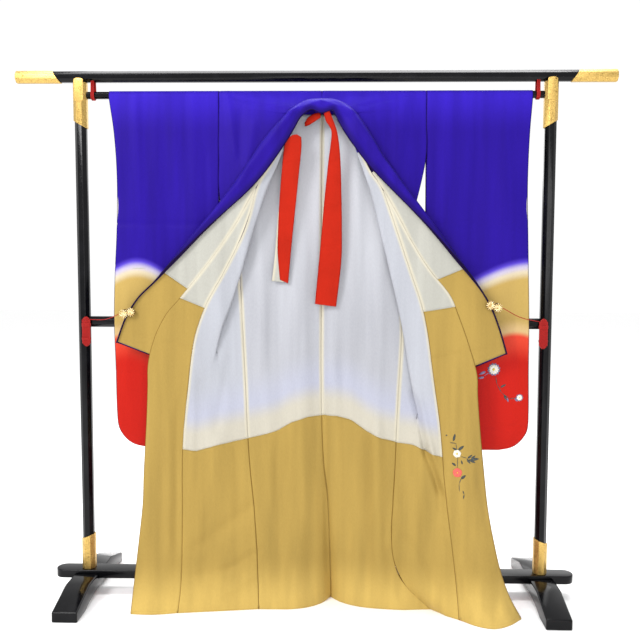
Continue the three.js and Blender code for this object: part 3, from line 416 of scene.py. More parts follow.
def silk(name, form, outward, rows, columns, offset=0.0, thick=CLOTH_THICK, creases=(), steps=GRID_STEP,
         tuck=0.0, end_first=False):
    """A sheet of silk on a form read from a wall.
    rows: the first and last row numbers, each one number or several, evenly from its first to its last column.
    tuck: how far its sewn edges sink into the seam. end_first: whether from_end counts from its first row, and
    None counts from the nearer of the two."""
    across_lengths = np.linalg.norm(np.diff(form, axis=1), axis=-1).mean(axis=0)
    along_lengths = np.linalg.norm(np.diff(form, axis=0), axis=-1).mean(axis=1)
    column_cuts = even_cuts(across_lengths, *columns, steps["across"])
    crossed = np.swapaxes(form, 0, 1)
    wide = smooth_read(crossed, np.repeat(column_cuts[:, None], form.shape[0], axis=1))
    wide = np.swapaxes(wide, 0, 1)
    ends = [np.atleast_1d(end) for end in rows]
    ends = [np.interp(column_cuts, np.linspace(*columns, len(end)), end) for end in ends]
    low, high = ends[0].mean(), ends[1].mean()
    row_cuts = even_cuts(along_lengths, low, high, steps["along"])
    share = ((row_cuts - low) / (high - low))[:, None]
    points = smooth_read(wide, ends[0] + (ends[1] - ends[0]) * share)

    def cloth_normals(p):
        n = np.cross(np.gradient(p, axis=1), np.gradient(p, axis=0)) * outward
        return n / (np.linalg.norm(n, axis=-1, keepdims=True) + 1e-9)

    across = np.concatenate([np.zeros((len(points), 1)),
                             np.cumsum(np.linalg.norm(np.diff(points, axis=1), axis=-1), axis=1)], axis=1)
    along = np.concatenate([np.zeros((1, points.shape[1])),
                            np.cumsum(np.linalg.norm(np.diff(points, axis=0), axis=-1), axis=0)], axis=0)
    from_edge = np.minimum(across, across[:, -1:] - across)
    points = points + cloth_normals(points) * (offset - tuck * np.exp(-from_edge / 2.5))[..., None]
    points[..., 1] -= creased(points, creases)
    points[..., 2] = np.maximum(points[..., 2], thick / 2 + FLOOR_GAP)

    bm = bmesh.new()
    count_i, count_j = points.shape[:2]
    bmesh.ops.create_grid(bm, x_segments=count_j - 1, y_segments=count_i - 1, size=0.5, calc_uvs=True)
    uv = bm.loops.layers.uv.verify()
    from_end = along if end_first else along[-1:] - along
    if end_first is None:
        from_end = np.minimum(along, from_end)
    edge_layer = bm.verts.layers.float.new("from_edge")
    end_layer = bm.verts.layers.float.new("from_end")
    place = {}
    for vert in bm.verts:
        i = round((vert.co.y + 0.5) * (count_i - 1))
        j = round((vert.co.x + 0.5) * (count_j - 1))
        place[vert] = (i, j)
        vert.co = points[i, j] * MM
        vert[edge_layer] = from_edge[i, j] * MM
        vert[end_layer] = from_end[i, j] * MM
    for face in bm.faces:
        for loop in face.loops:
            i, j = place[loop.vert]
            loop[uv].uv = (across[i, j] * MM, along[i, j] * MM)
    if outward < 0:
        bmesh.ops.reverse_faces(bm, faces=bm.faces)
    piece = finished(name, bm)
    solid = piece.modifiers.new("thickness", "SOLIDIFY")
    solid.thickness = thick * MM
    solid.offset = 0
    piece["flat_mm"] = [float(across[:, -1].mean()), float(along[-1].mean())]
    return piece


def finished(name, bm):
    """A smooth-shaded object from a bmesh, riding on the part."""
    mesh = bpy.data.meshes.new(name)
    bm.to_mesh(mesh)
    bm.free()
    mesh.shade_smooth()
    piece = bpy.data.objects.new(name, mesh)
    bpy.context.scene.collection.objects.link(piece)
    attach(piece, "root")
    return piece


def dress(piece, material, slot, *stands_for):
    """Gives a piece its material, and hides the CAD nodes that it stands for."""
    piece.data.materials.clear()
    piece.data.materials.append(material)
    if stands_for:
        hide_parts(*stands_for)
    return piece


# ---------------------------------------------------------------- the garment's materials
# The collar's crepe, with painted shade along its free edge and ends.
BLUE = outer_silk("blue_collar_crepe_painted_edge_shade", painted_edge_shade=True)
BODY_BLUE = outer_silk(
    "brush_dyed_body_crepe", soft=1.8, gold=0.68, gold_x=0.03, gold_width=0.36, gold_depth=0.09,
    red=0.40, red_x=0.12, red_width=0.28, red_depth=0.06)
SLEEVE_BLUE = {
    "left": outer_silk(
        "brush_dyed_left_sleeve_crepe", gold=1.045, gold_x=-0.56, gold_width=0.24, gold_depth=0.06,
        red=0.85, red_x=-0.59, red_width=0.14, red_depth=0.025),
    "right": outer_silk(
        "brush_dyed_right_sleeve_crepe", gold=1.048, gold_x=0.69, gold_width=0.46, gold_depth=0.085,
        red=0.858, red_x=0.639, red_width=0.14, red_depth=0.020),
}
HAZE = {"lavender": "#989aa8", "cream": "#a6a194"}
# The back lining gets painted light, paler towards the top.
BACK_LINING = lining_silk("grey_white_back_lining", "#96979d", painted_light_above="#afb0b6", **HAZE)
FRONT_LINING = lining_silk("blue_white_front_lining", "#989aa1", **HAZE)
EDGE_LINING = lining_silk("cream_white_edge_lining", "#9a9991")
HEM_GOLD = hem_silk("gold_hem_lining_crepe")
TIE_RED = red_silk("scarlet_tie_silk")

# ---------------------------------------------------------------- the garment's pieces
WALLS = {
    "body_left": read_wall("body_left", 12, (60, -36, 0)),
    "body_right": read_wall("body_right", 12, (60, -36, 0)),
    "okumi_left": read_wall("okumi_left", 5, (-180, -65, 1290)),
    "okumi_right": read_wall("okumi_right", 5, (222, -65, 1285)),
    "collar": read_wall("collar", 7, (-510, -85, 792)),
    "sleeve_left": read_wall("sleeve_left", 8, (-299, -22, 487)),
    "sleeve_right": read_wall("sleeve_right", 8, (353, -22, 487)),
    "tie_left": read_wall("tie_left", 3, (-84, -62, 1462), 2.4),
    "tie_left_backing": read_wall("tie_left_backing", 3, (-110, -42, 1240), 2.4),
    "tie_right": read_wall("tie_right", 3, (30, -56, 1548), 2.4),
}

# The left panel's edge hangs close beside its sleeve, under the armhole.
ARMHOLE = {"x": -297, "low": 1180, "fade_low": 80, "high": 1450, "fade_high": 50}
panel = WALLS["body_left"]
panel_x, panel_z = panel[:, 11, 0], panel[:, 11, 2]
near = (np.clip((panel_z - ARMHOLE["low"]) / ARMHOLE["fade_low"], 0, 1)
        * np.clip((ARMHOLE["high"] - panel_z) / ARMHOLE["fade_high"], 0, 1))
pull = np.minimum(ARMHOLE["x"] - panel_x, 0) * near
for column, share in ((11, 1.0), (10, 0.6), (9, 0.25)):
    panel[:, column, 0] += pull * share

# The collar's fold-over is narrow at its tips.
for row in (0, 1, 2, 3, 27, 28, 29, 30):
    fold = WALLS["collar"][row]
    fold[4:] = fold[3] + (fold[4:] - fold[3]) * 0.5

# Creases of the body, by place: a height over 0 is a ridge, under 0 a furrow.
BODY_CREASES = table(
    "x1 z1 x2 z2 width height fade",
    # down the back between the fronts
    (26, 1480, 30, 960, 9, -3.5, 90), (31, 940, 50, 60, 9, -6.0, 120),
    (137, 1470, 143, 900, 21, 5.0, 160), (88, 1500, 93, 760, 20, -4.5, 150),
    (-14, 1480, -10, 880, 24, -4.0, 170), (-62, 1330, -75, 760, 26, 4.5, 150),
    (196, 1080, 205, 700, 20, 4.0, 120),
    (-130, 1000, -150, 560, 20, -4.0, 130), (100, 760, 108, 180, 26, -10.0, 170),
    (-50, 700, -44, 140, 30, 9.0, 180),
    (205, 520, 214, 150, 22, 8.0, 130), (-110, 470, -106, 60, 24, -7.5, 120),
    (155, 470, 166, 90, 22, -6.0, 110),
    # from the shoulders to the collar, and beside the sleeves
    (-254, 1598, -104, 1551, 5, -2.5, 14), (300, 1602, 148, 1565, 5, -2.5, 14),
    (281, 1560, 258, 1360, 12, 4.0, 50), (183, 1490, 190, 1380, 12, 3.5, 40),
    (-188, 1500, -207, 1375, 12, 4.0, 40),
    (-268, 1590, -246, 1430, 12, 3.5, 50), (232, 1520, 222, 1400, 14, -3.0, 40),
    (-228, 1540, -232, 1420, 13, -3.0, 40),
    # across the gold fronts
    (-455, 829, -378, 810, 7, -3.5, 22), (-560, 857, -512, 843, 6, -2.5, 14), (372, 783, 456, 803, 7, -3.5, 22),
    (470, 806, 566, 821, 7, -2.5, 25), (373, 714, 402, 711, 6, -2.2, 14), (373, 677, 398, 678, 6, -2.0, 14),
    # low on the left front
    (-203, 300, -350, 196, 22, -7.0, 50), (-174, 168, -262, 120, 13, -4.5, 40),
    (-262, 120, -352, 108, 16, -4.0, 40),
    (-190, 96, -260, 60, 16, 3.5, 40), (-452, 560, -446, 160, 16, 6.0, 90),
    (-420, 620, -424, 240, 12, -5.0, 80),
    (-300, 520, -330, 330, 26, 6.5, 70), (-240, 480, -236, 330, 20, -5.0, 60),
    (-268, 760, -300, 560, 15, -4.0, 60),
    (-372, 700, -380, 420, 14, 4.5, 80), (-330, 330, -342, 90, 15, -4.5, 60),
    # low on the right front
    (304, 372, 256, 214, 18, 5.5, 50), (387, 436, 402, 320, 13, -4.5, 50), (340, 420, 352, 250, 18, 4.0, 60),
    (318, 666, 355, 495, 9, -9.0, 40), (355, 495, 395, 382, 10, -9.0, 40), (340, 650, 376, 490, 9, 5.0, 40),
    (376, 490, 417, 372, 10, 5.0, 40), (410, 700, 424, 470, 14, 4.5, 70),
    (300, 210, 380, 80, 18, -6.0, 40), (500, 78, 558, 44, 16, -4.5, 26), (430, 230, 466, 110, 16, 3.5, 40),
    (480, 640, 500, 420, 16, 5.0, 70), (520, 400, 548, 260, 14, -4.5, 50), (462, 196, 452, 150, 12, -3.0, 24),
)
SLEEVE_CREASES = {
    "left": table(
        "x1 z1 x2 z2 width height fade",
        (-640, 1203, -300, 1200, 6, -1.8, 30), (-650, 1069, -470, 1056, 4, -3.2, 24),
        (-560, 1560, -548, 1260, 16, 2.2, 80),
        (-470, 1500, -462, 980, 20, -2.2, 120), (-380, 1560, -372, 1180, 16, 2.2, 90),
        (-590, 980, -600, 700, 16, 1.8, 80),
        (-500, 880, -506, 620, 20, 2.0, 80), (-640, 730, -440, 724, 6, -1.4, 30),
        (-340, 1400, -336, 1050, 10, -2.0, 70),
    ),
    "right": table(
        "x1 z1 x2 z2 width height fade",
        (350, 1203, 660, 1199, 6, -1.8, 30), (470, 563, 690, 566, 6, -1.8, 30),
        (600, 1570, 590, 1230, 16, 2.2, 80),
        (512, 1490, 504, 1000, 20, -2.2, 120), (420, 1560, 412, 1180, 16, 2.2, 90),
        (640, 1010, 652, 690, 16, 1.8, 80),
        (560, 860, 566, 600, 18, -1.8, 80), (470, 1066, 660, 1060, 6, -1.4, 30),
        (384, 1400, 380, 1080, 10, -2.0, 70),
    ),
}

# Where each piece lies on its form: rows and columns, as the form's point numbers.
LINING_TOP, LAST = 25, 47
FRONT_GOLD = {"left": (41, 41.07, 40.89, 40.79, 40.65), "right": (41.2, 41.1, 40.92, 40.8, 40.75)}
BACK_GOLD = {"left": (5.34, 5.31, 5.19, 4.98, 4.86, 4.77), "right": (5.34, 5.34, 5.24, 4.99, 4.8, 4.7)}
BODY_WIDTH, OKUMI_WIDTH = (-0.03, 11.03), (-0.05, 4.02)    # a little past each edge, so that sewn edges meet
ROLL_STEP = {"across": 5.5, "along": 3}
HEM_ROLL = {"thick": 3.0, "offset": -0.4}       # the padded gold roll along the hem


def hem_roll(name, form, outward, rows, columns, creases):
    """The hem lining's own edge, rolled over the outer silk and padded."""
    roll = silk(name, form, outward, rows, columns, creases=creases, steps=ROLL_STEP, **HEM_ROLL)
    bevel = roll.modifiers.new("round", "BEVEL")
    bevel.width, bevel.segments, bevel.limit_method = 1.2 * MM, 3, "ANGLE"
    dress(roll, HEM_GOLD, "silk_gold")
    return roll


for side, outward in SIDES:
    form = WALLS[f"body_{side}"]
    body = silk(f"body_{side}_silk", form, outward, (0, LAST), BODY_WIDTH, creases=BODY_CREASES, tuck=0.6)
    dress(body, BODY_BLUE, "silk_blue", f"body_{side}")
    rolls = {
        "back": hem_roll(f"hem_roll_back_{side}", form, outward, (-0.03, 0.14), (0, 11), BODY_CREASES),
        "front": hem_roll(f"hem_roll_front_{side}", form, outward, (46.86, 47.03), (0, 11), BODY_CREASES),
    }
    hems = (
        ("lining_back", BACK_LINING, "silk_white", (BACK_GOLD[side], 15), (0.30, 1.00), True),
        ("hakkake_back", HEM_GOLD, "silk_gold", (0.06, BACK_GOLD[side]), (0.28, 0.57), False),
        ("lining_front", FRONT_LINING, "silk_white", (LINING_TOP, FRONT_GOLD[side]), (0.22, 0.96), False),
        ("hakkake_front", HEM_GOLD, "silk_gold", (FRONT_GOLD[side], 46.94), (0.23, 0.52), True),
    )
    for name, material, slot_name, rows, flat, end_first in hems:
        piece = silk(f"{name}_{side}_silk", form, outward, rows, BODY_WIDTH, offset=LINING_BACK,
                     thick=LINING_THICK, creases=BODY_CREASES, tuck=0.5, end_first=end_first)
        dress(piece, material, slot_name, f"{name}_{side}")

OKUMI_GOLD = {"left": (4.24, 4.0), "right": (4.33, 4.57)}
for side, outward in SIDES:
    form = WALLS[f"okumi_{side}"]
    okumi = silk(f"okumi_{side}_silk", form, -outward, (0, 16), OKUMI_WIDTH, creases=BODY_CREASES, tuck=0.6)
    dress(okumi, BODY_BLUE, "silk_blue", f"okumi_{side}")
    roll = hem_roll(f"hem_roll_okumi_{side}", form, -outward, (15.9, 16.02), (0, 4), BODY_CREASES)
    for name, material, slot_name, rows, flat in (
        ("okumi_lining", EDGE_LINING, "silk_white", (-0.25, OKUMI_GOLD[side]), (0.06, 0.40)),
        ("okumi_hakkake", HEM_GOLD, "silk_gold", (OKUMI_GOLD[side], 15.95), (0.15, 0.98)),
    ):
        piece = silk(f"{name}_{side}_silk", form, -outward, rows, OKUMI_WIDTH, offset=LINING_BACK,
                     thick=LINING_THICK, creases=BODY_CREASES, tuck=0.5)
        dress(piece, material, slot_name, f"{name}_{side}")

COLLAR_CREASES = BODY_CREASES + table(
    "x1 z1 x2 z2 width height fade",
    # the round outer edge
    (-228, 1322, -66, 1544, 9, 7.0, 40), (-66, 1546, 20, 1574, 8, 8.0, 22), (28, 1574, 114, 1546, 8, 8.0, 22),
    (116, 1544, 270, 1320, 9, 7.0, 40),
    # folds round the neck
    (-40, 1556, -70, 1500, 7, -3.0, 20), (26, 1572, 27, 1556, 5, 3.0, 8), (52, 1556, 96, 1530, 6, -3.0, 14),
    (-150, 1420, -196, 1352, 9, -2.5, 30), (176, 1440, 214, 1372, 9, -2.5, 30),
)
collar = silk("collar_silk", WALLS["collar"], 1, (0, 30), (0, 6), creases=COLLAR_CREASES, end_first=None)
dress(collar, BLUE, "silk_blue", "collar")
COLLAR_LINING = {
    "left": {"white": (8.5, 3.375), "gold": (3.375, 0.05)},
    "right": {"white": (21.5, 26.325), "gold": (26.325, 29.95)},
}
for side, outward in SIDES:
    for name, material, slot_name, rows, flat in (
        ("collar_lining", EDGE_LINING, "silk_white", COLLAR_LINING[side]["white"], (0.08, 0.43)),
        ("collar_hakkake", HEM_GOLD, "silk_gold", COLLAR_LINING[side]["gold"], (0.10, 0.28)),
    ):
        piece = silk(f"{name}_{side}_silk", WALLS["collar"], 1, tuple(sorted(rows)), (-0.12, 2.3),
                     offset=LINING_BACK, thick=LINING_THICK, creases=BODY_CREASES)
        dress(piece, material, slot_name, f"{name}_{side}")

SLEEVE_STEP = {"across": 8, "along": 9}
for side, outward in SIDES:
    form = WALLS[f"sleeve_{side}"]
    end = len(form) - 1
    sleeve = silk(f"sleeve_{side}_silk", form, outward, (0, end), (-0.02, 7), creases=SLEEVE_CREASES[side])
    dress(sleeve, SLEEVE_BLUE[side], "silk_blue", f"sleeve_{side}")
    inside = silk(f"sleeve_lining_{side}_silk", form, outward, (0.1, end - 0.1), (0.03, 6.97),
                  offset=LINING_BACK, thick=LINING_THICK, creases=SLEEVE_CREASES[side], steps=SLEEVE_STEP)
    dress(inside, EDGE_LINING, "silk_white")

TIE_CREASES = table(
    "x1 z1 x2 z2 width height fade",
    (-80, 1148, -56, 1152, 4, -1.6, 14), (-86, 1398, -40, 1410, 7, 1.4, 14),
    (-104, 1040, -82, 1036, 5, 1.2, 12),
    (-88, 1270, -52, 1268, 9, -1.0, 14), (40, 1392, 70, 1388, 4, -1.5, 12), (34, 1262, 74, 1256, 5, -1.6, 14),
    (26, 1130, 74, 1134, 5, -1.7, 14), (22, 1064, 66, 1052, 8, 1.2, 14), (36, 1316, 70, 1330, 8, 1.3, 14),
    (44, 1462, 66, 1446, 4, -2.0, 10),
)
for name, slot_name, material, flat, first in (
    ("tie_left", "silk_red", TIE_RED, (0.05, 0.46), (0.3, 0.12, 0.12, 0.36, 1.0)),
    ("tie_left_backing", "silk_white", EDGE_LINING, (0.035, 0.22), 0),
    ("tie_right", "silk_red", TIE_RED, (0.06, 0.61), 0),
):
    form = WALLS[name]
    piece = silk(f"{name}_silk", form, 1, (first, len(form) - 1), (0, 2), thick=1.2, creases=TIE_CREASES,
                 steps={"across": 2.5, "along": 3.5})
    dress(piece, material, slot_name, name)

# The sewn end of the right tie, folded back on itself under the collar.
TIE_LOOP = np.array([
    [(x, y, z - half), (x + 1, y - 1, z), (x, y, z + half)]
    for x, y, z, half in ((-28, -26, 1510, 5), (-18, -29, 1519, 12), (-4, -31, 1527, 13), (10, -32, 1534, 11),
                          (22, -32, 1538, 8))
])
tie_loop = silk("tie_loop_silk", TIE_LOOP, -1, (0, 4), (0, 2), thick=1.2, steps={"across": 2.5, "along": 3})
dress(tie_loop, TIE_RED, "silk_red")


# ---------------------------------------------------------------- flowers on the silk
def stitched(name, code, thread_m=0.0016):
    """Satin stitch in silk thread of 0.4 mm, drawn coarser to show: soft gloss across its slanting threads."""
    material, tree, shader, place = new_material(
        name, Roughness=0.42, Specular_IOR_Level=0.3, Sheen_Weight=0.15)
    turned = put(tree, "Mapping", {"Rotation": (0, math.radians(50), 0)}, {"Vector": place})
    rows = put(tree, "TexWave", {"bands_direction": "Z", "Scale": WAVE / thread_m, "Distortion": 0.6},
               {"Vector": turned})
    base = put(tree, "RGB")
    base.outputs[0].default_value = linear(code)
    colour = clouded(tree, base.outputs[0], place, (0.006, 0.006, 0.006), 0.85, 1.1)
    surfaced(tree, shader, colour, rows.outputs["Fac"], 0.5, 0.0004)
    return material


def petal(bm, x, z, length, width, turn, lift):
    """A petal, leaf or stem from its foot at (x, z), turned in degrees from +X, its middle a little raised."""
    made = bmesh.ops.create_circle(bm, cap_ends=True, cap_tris=True, segments=14, radius=0.5)
    c, s = math.cos(math.radians(turn)), math.sin(math.radians(turn))
    for vert in made["verts"]:
        u, v = vert.co.x + 0.5, vert.co.y * (1.15 - 0.7 * (vert.co.x + 0.5) ** 3)
        middle = 1 - min(1.0, (vert.co.length / 0.5)) ** 2
        vert.co = (x + length * u * c - width * v * s, -(lift + 0.5 * middle),
                   z + length * u * s + width * v * c)


def flower(bm, x, z, radius, petals, turn, lift):
    """Petals round a middle."""
    for k in range(petals):
        petal(bm, x, z, radius, radius * 2.5 * math.sin(math.pi / petals), turn + 360 * k / petals, lift)


STITCH_RISE = 0.55      # how far the flat shapes lie in front of the cloth
NO_CLOTH_Y = -40.0      # where a shape lies if no cloth is behind it


def motif(place, cloth, shift, shapes):
    """Flat stitched shapes laid on the cloth's shown face, one piece to a colour, all moved by shift (x, z)."""
    skin = bmesh.new()
    skin.from_mesh(cloth.data)
    face = BVHTree.FromBMesh(skin)
    skin.free()
    for colour in dict.fromkeys(shape["colour"] for shape in shapes):
        bm = bmesh.new()
        for shape in shapes:
            x, z, length, width = shape["x"] + shift[0], shape["z"] + shift[1], shape["length"], shape["width"]
            if shape["colour"] != colour:
                continue
            if shape["petals"]:
                flower(bm, x, z, length, shape["petals"], shape["turn"], shape["lift"])
            else:
                petal(bm, x, z, length, width, shape["turn"], shape["lift"])
        for vert in bm.verts:
            hit = face.ray_cast(Vector((vert.co.x * MM, -1, vert.co.z * MM)), Vector((0, 1, 0)))[0]
            y = hit.y / MM if hit else NO_CLOTH_Y
            vert.co = Vector((vert.co.x, y - STITCH_RISE + vert.co.y, vert.co.z)) * MM
        bmesh.ops.recalc_face_normals(bm, faces=bm.faces)
        piece = finished(f"flowers_{place}_{colour}", bm)
        solid = piece.modifiers.new("thickness", "SOLIDIFY")
        solid.thickness, solid.offset = 0.3 * MM, 0
        dress(piece, THREADS[colour][0], THREADS[colour][1])


THREADS = {
    "white": (stitched("white_satin_stitch", "#d2cfc4"), "silk_white"),
    "mauve": (stitched("mauve_satin_stitch", "#6f6788"), "silk_blue"),
    "coral": (stitched("coral_satin_stitch", "#d2574c"), "silk_red"),
    "yellow": (stitched("yellow_satin_stitch", "#cdb24a"), "silk_gold"),
    "slate": (stitched("slate_green_satin_stitch", "#363b39"), "silk_blue"),
}
SHAPES = "colour x z length width petals turn lift"
motif("front", bpy.data.objects["okumi_hakkake_right_silk"], (6, -10), table(
    SHAPES,
    ("slate", 409, 559, 5, 4, 0, 0, 0.0), ("slate", 433, 542, 23, 7, 0, 78, 0.0),
    ("slate", 422, 537, 21, 2.2, 0, -8, 0.0),
    ("slate", 440, 534, 22, 1.8, 0, -78, 0.0), ("slate", 448, 514, 22, 8, 0, 40, 0.0),
    ("slate", 443, 514, 15, 5.5, 0, 153, 0.0),
    ("slate", 476, 490, 18, 6, 0, 41, 0.0), ("slate", 486, 489, 17, 6, 0, 35, 0.1),
    ("slate", 486, 488, 25, 8, 0, 0, 0.2),
    ("slate", 480, 487, 22, 7, 0, -27, 0.1), ("slate", 474, 488, 17, 6, 0, -55, 0.0),
    ("slate", 456, 495, 20, 1.6, 0, -14, 0.0),
    ("slate", 440, 466, 15, 6, 0, 143, 0.0), ("slate", 460, 471, 13, 4, 0, 104, 0.0),
    ("slate", 456, 427, 18, 8, 0, 38, 0.0),
    ("slate", 457, 430, 21, 2.0, 0, -110, 0.0), ("slate", 450, 411, 24, 1.8, 0, -88, 0.0),
    ("slate", 461, 391, 12, 3, 0, -70, 0.0),
    ("slate", 465, 380, 15, 3, 0, -100, 0.0), ("slate", 446, 492, 38, 1.6, 0, -92, 0.0),
    ("white", 444, 503, 12.5, 0, 6, 10, 0.3), ("coral", 445, 445, 14.5, 0, 5, 20, 0.3),
    ("yellow", 441, 503, 6, 6, 0, 0, 0.9), ("yellow", 443, 445, 4, 4, 0, 0, 0.9),
))
motif("sleeve", bpy.data.objects["sleeve_right_silk"], (0, 0), table(
    SHAPES,
    ("mauve", 572, 747, 21, 0, 12, 15, 0.0), ("white", 572, 747, 16.5, 0, 12, 0, 0.4),
    ("yellow", 568, 747, 8, 8, 0, 0, 1.0),
    ("mauve", 546, 740, 23, 8, 0, 205, 0.0), ("mauve", 542, 722, 20, 7, 0, 190, 0.0),
    ("mauve", 556, 736, 18, 2, 0, 215, 0.0),
    ("slate", 578, 724, 30, 2.2, 0, -78, 0.0), ("slate", 584, 697, 31, 2.2, 0, -60, 0.0),
    ("slate", 599, 672, 32, 2.2, 0, -38, 0.0),
    ("slate", 623, 653, 26, 2.0, 0, 10, 0.0), ("slate", 594, 690, 20, 6, 0, 28, 0.0),
    ("slate", 606, 664, 17, 6, 0, -62, 0.0),
    ("mauve", 616, 656, 14, 5, 0, -75, 0.1), ("mauve", 640, 655, 14, 5, 0, -50, 0.0),
    ("mauve", 655, 657, 12, 0, 8, 0, 0.0), ("white", 655, 657, 9.5, 0, 8, 20, 0.4),
    ("yellow", 653, 657, 4, 4, 0, 0, 0.9),
))


# ---------------------------------------------------------------- the stand
LACQUER, GILT, CORD = lacquer(), gilt(), red_cord()
STAND = {"lacquer": LACQUER, "gilt": GILT, "cord_red": CORD}
BEVELS = {"top_bar": 1.2, "hanging_rod": 1.0, "mid_rail": 1.2, "base_beam": 2.5, "post_left": 1.2,
          "post_right": 1.2, "foot_left": 4, "foot_right": 4, "bar_end_left": 1, "bar_end_right": 1,
          "post_cap_left": 0.8, "post_cap_right": 0.8, "post_shoe_left": 0.8, "post_shoe_right": 0.8}
BAR_Z, POST_X, TONGUE_Z = 1663, 738.5, 1646


def slant_end(bm, name):
    """Draws a gilt fitting's inner end out into a slanting point over the lacquer."""
    sign = -1 if name.endswith("left") else 1
    for vert in bm.verts:
        x, z = vert.co.x / MM, vert.co.z / MM
        across = (x - sign * POST_X) / 21
        if name.startswith("bar_end") and abs(x) < 830:
            vert.co.x -= sign * 13 * (1 - (z - BAR_Z) / 18.7) * MM
        elif name.startswith("post_cap") and z > TONGUE_Z:
            vert.co.z = (TONGUE_Z + (z - TONGUE_Z) * 0.42) * MM
        elif name.startswith("post_cap") and z < 1530:
            vert.co.z -= 12 * (1 - sign * across) * MM
        elif name.startswith("post_shoe") and z > 170:
            vert.co.z += 8 * (1 - sign * across) * MM


for name, width in BEVELS.items():
    bm = one_copy(name)
    bmesh.ops.dissolve_limit(bm, angle_limit=math.radians(2), verts=bm.verts, edges=bm.edges)
    slant_end(bm, name)
    piece = finished(f"{name}_finish", bm)
    bevel = piece.modifiers.new("soft edges", "BEVEL")
    bevel.width, bevel.segments, bevel.limit_method = width * MM, 3, "ANGLE"
    bevel.angle_limit = math.radians(25)
    bevel.harden_normals = True
    slot_name = cad[name].data.materials[0].name
    dress(piece, STAND[slot_name], slot_name, name)
CLIPS = {"left": ((-565, 927), (-587, 921)), "right": ((547, 953), (569, 946))}
PETALS, PETAL_LENGTH, PETAL_DEPTH, PETAL_WIDTH = 12, 12.5, 3.4, 3.1
# Painted light: the petals get a pale brass as a painted highlight, and the clip's disc behind them a dark
# brass as painted shade in the gaps.
PETAL_BRASS_PAINTED_HIGHLIGHT = petal_brass("petal_brass_painted_highlight", "#c8a560", "#f2e3b4")
CLIP_BRASS_PAINTED_SHADE = petal_brass("clip_brass_painted_shade", "#3c2a10", "#6e5222")
for side, centres in CLIPS.items():
    bm = one_copy(f"clip_{side}")
    face = BVHTree.FromBMesh(bm)
    bm.free()
    hits = [face.ray_cast(Vector((x * MM, -1, z * MM)), Vector((0, 1, 0)))[0] for x, z in centres]
    discs = [hit / MM for hit in hits]
    bm = bmesh.new()
    for k in range(PETALS):
        for place in discs:
            turn = Matrix.Rotation(2 * math.pi * k / PETALS, 4, "Y")
            size = Matrix.Diagonal((PETAL_LENGTH, PETAL_DEPTH, PETAL_WIDTH, 1))
            shape = turn @ Matrix.Translation((8.6, -0.6, 0)) @ size
            bmesh.ops.create_uvsphere(bm, u_segments=12, v_segments=8, radius=0.5,
                                      matrix=Matrix.Translation(place) @ shape)
    for place in discs:
        bmesh.ops.create_uvsphere(bm, u_segments=12, v_segments=8, radius=0.5,
                                  matrix=Matrix.Translation(place) @ Matrix.Diagonal((5, 4, 5, 1)))
    bmesh.ops.scale(bm, vec=(MM, MM, MM), verts=bm.verts)
    dress(finished(f"clip_petals_{side}", bm), PETAL_BRASS_PAINTED_HIGHLIGHT, "gilt")


def cord_curve(name, lines, radius, closed):
    """Round cord along each line of points."""
    curve = bpy.data.curves.new(name, "CURVE")
    curve.dimensions, curve.bevel_depth, curve.bevel_resolution = "3D", radius * MM, 3
    curve.use_fill_caps = not closed
    for line in lines:
        spline = curve.splines.new("POLY")
        spline.points.add(len(line) - 1)
        spline.use_cyclic_u = closed
        for point, place in zip(spline.points, line):
            point.co = (*(c * MM for c in place), 1)
    made = bpy.data.objects.new(name, curve)
    bpy.context.scene.collection.objects.link(made)
    mesh = bpy.data.meshes.new_from_object(made)
    bpy.data.objects.remove(made)
    bm = bmesh.new()
    bm.from_mesh(mesh)
    bpy.data.meshes.remove(mesh)
    return finished(name, bm)


LOOP_X, LOOP_Y, LOOP_PITCH, LOOP_RADIUS = 697, 14, 3.7, 1.9


def cad_low_high(name):
    """The lowest and highest z of a CAD node, in millimetres."""
    low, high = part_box(name)
    return low[2] / MM, high[2] / MM


# Each hank: seven rounds of cord side by side, bound twice.
HANK = {"x": 727, "low": 811, "high": 908, "front": -28, "back": -18.6, "rounds": 7, "radius": 1.95}
for side, sign in (("left", -1), ("right", 1)):
    r = HANK["radius"]
    near, far = HANK["front"] + r, HANK["back"] - r
    middle, half = (near + far) / 2, (far - near) / 2
    lines = []
    for k in range(HANK["rounds"]):
        off = k - (HANK["rounds"] - 1) / 2
        x = sign * HANK["x"] + off * r * 1.9
        bow = 9 * (abs(off) / 3) ** 2
        top, low = HANK["high"] - r - half - bow, HANK["low"] + r + half + bow
        turns = [math.radians(15 * n) for n in range(25)]
        lines.append([(x, middle + half * math.cos(a), (top if math.sin(a) >= 0 else low) + half * math.sin(a))
                      for a in turns[:-1]])
    for z in (884, 880.5, 877, 838, 834.5):
        wide, deep = r * 1.9 * HANK["rounds"] / 2 + 0.4, half + r + 0.2
        bound = []
        for a in [math.radians(15 * n) for n in range(24)]:
            square = abs(math.cos(a)) ** -0.5 if abs(math.cos(a)) > 0.1 else 1
            bound.append((sign * HANK["x"] + wide * math.cos(a) * square, middle + deep * math.sin(a), z))
        lines.append(bound)
    hank = cord_curve(f"cord_hank_{side}_wound", lines, r, True)
    dress(hank, CORD, "cord_red", f"cord_hank_{side}")
    # Cord from under the bar, three times round the hanging rod.
    bar_low, rod_low = cad_low_high("top_bar")[0], cad_low_high("rod_loop_left")[0]
    rounds = []
    for k in (-1, 0, 1):
        x = sign * LOOP_X + k * LOOP_PITCH
        bend = [(x, LOOP_Y * math.cos(math.radians(a)), rod_low + LOOP_Y + LOOP_Y * math.sin(math.radians(a)))
                for a in range(180, 361, 15)]
        rounds.append([(x, -LOOP_Y + 4, bar_low + 3), *bend, (x, LOOP_Y - 4, bar_low + 3)])
    wound = cord_curve(f"rod_loop_{side}_wound", rounds, LOOP_RADIUS, True)
    dress(wound, CORD, "cord_red", f"rod_loop_{side}")
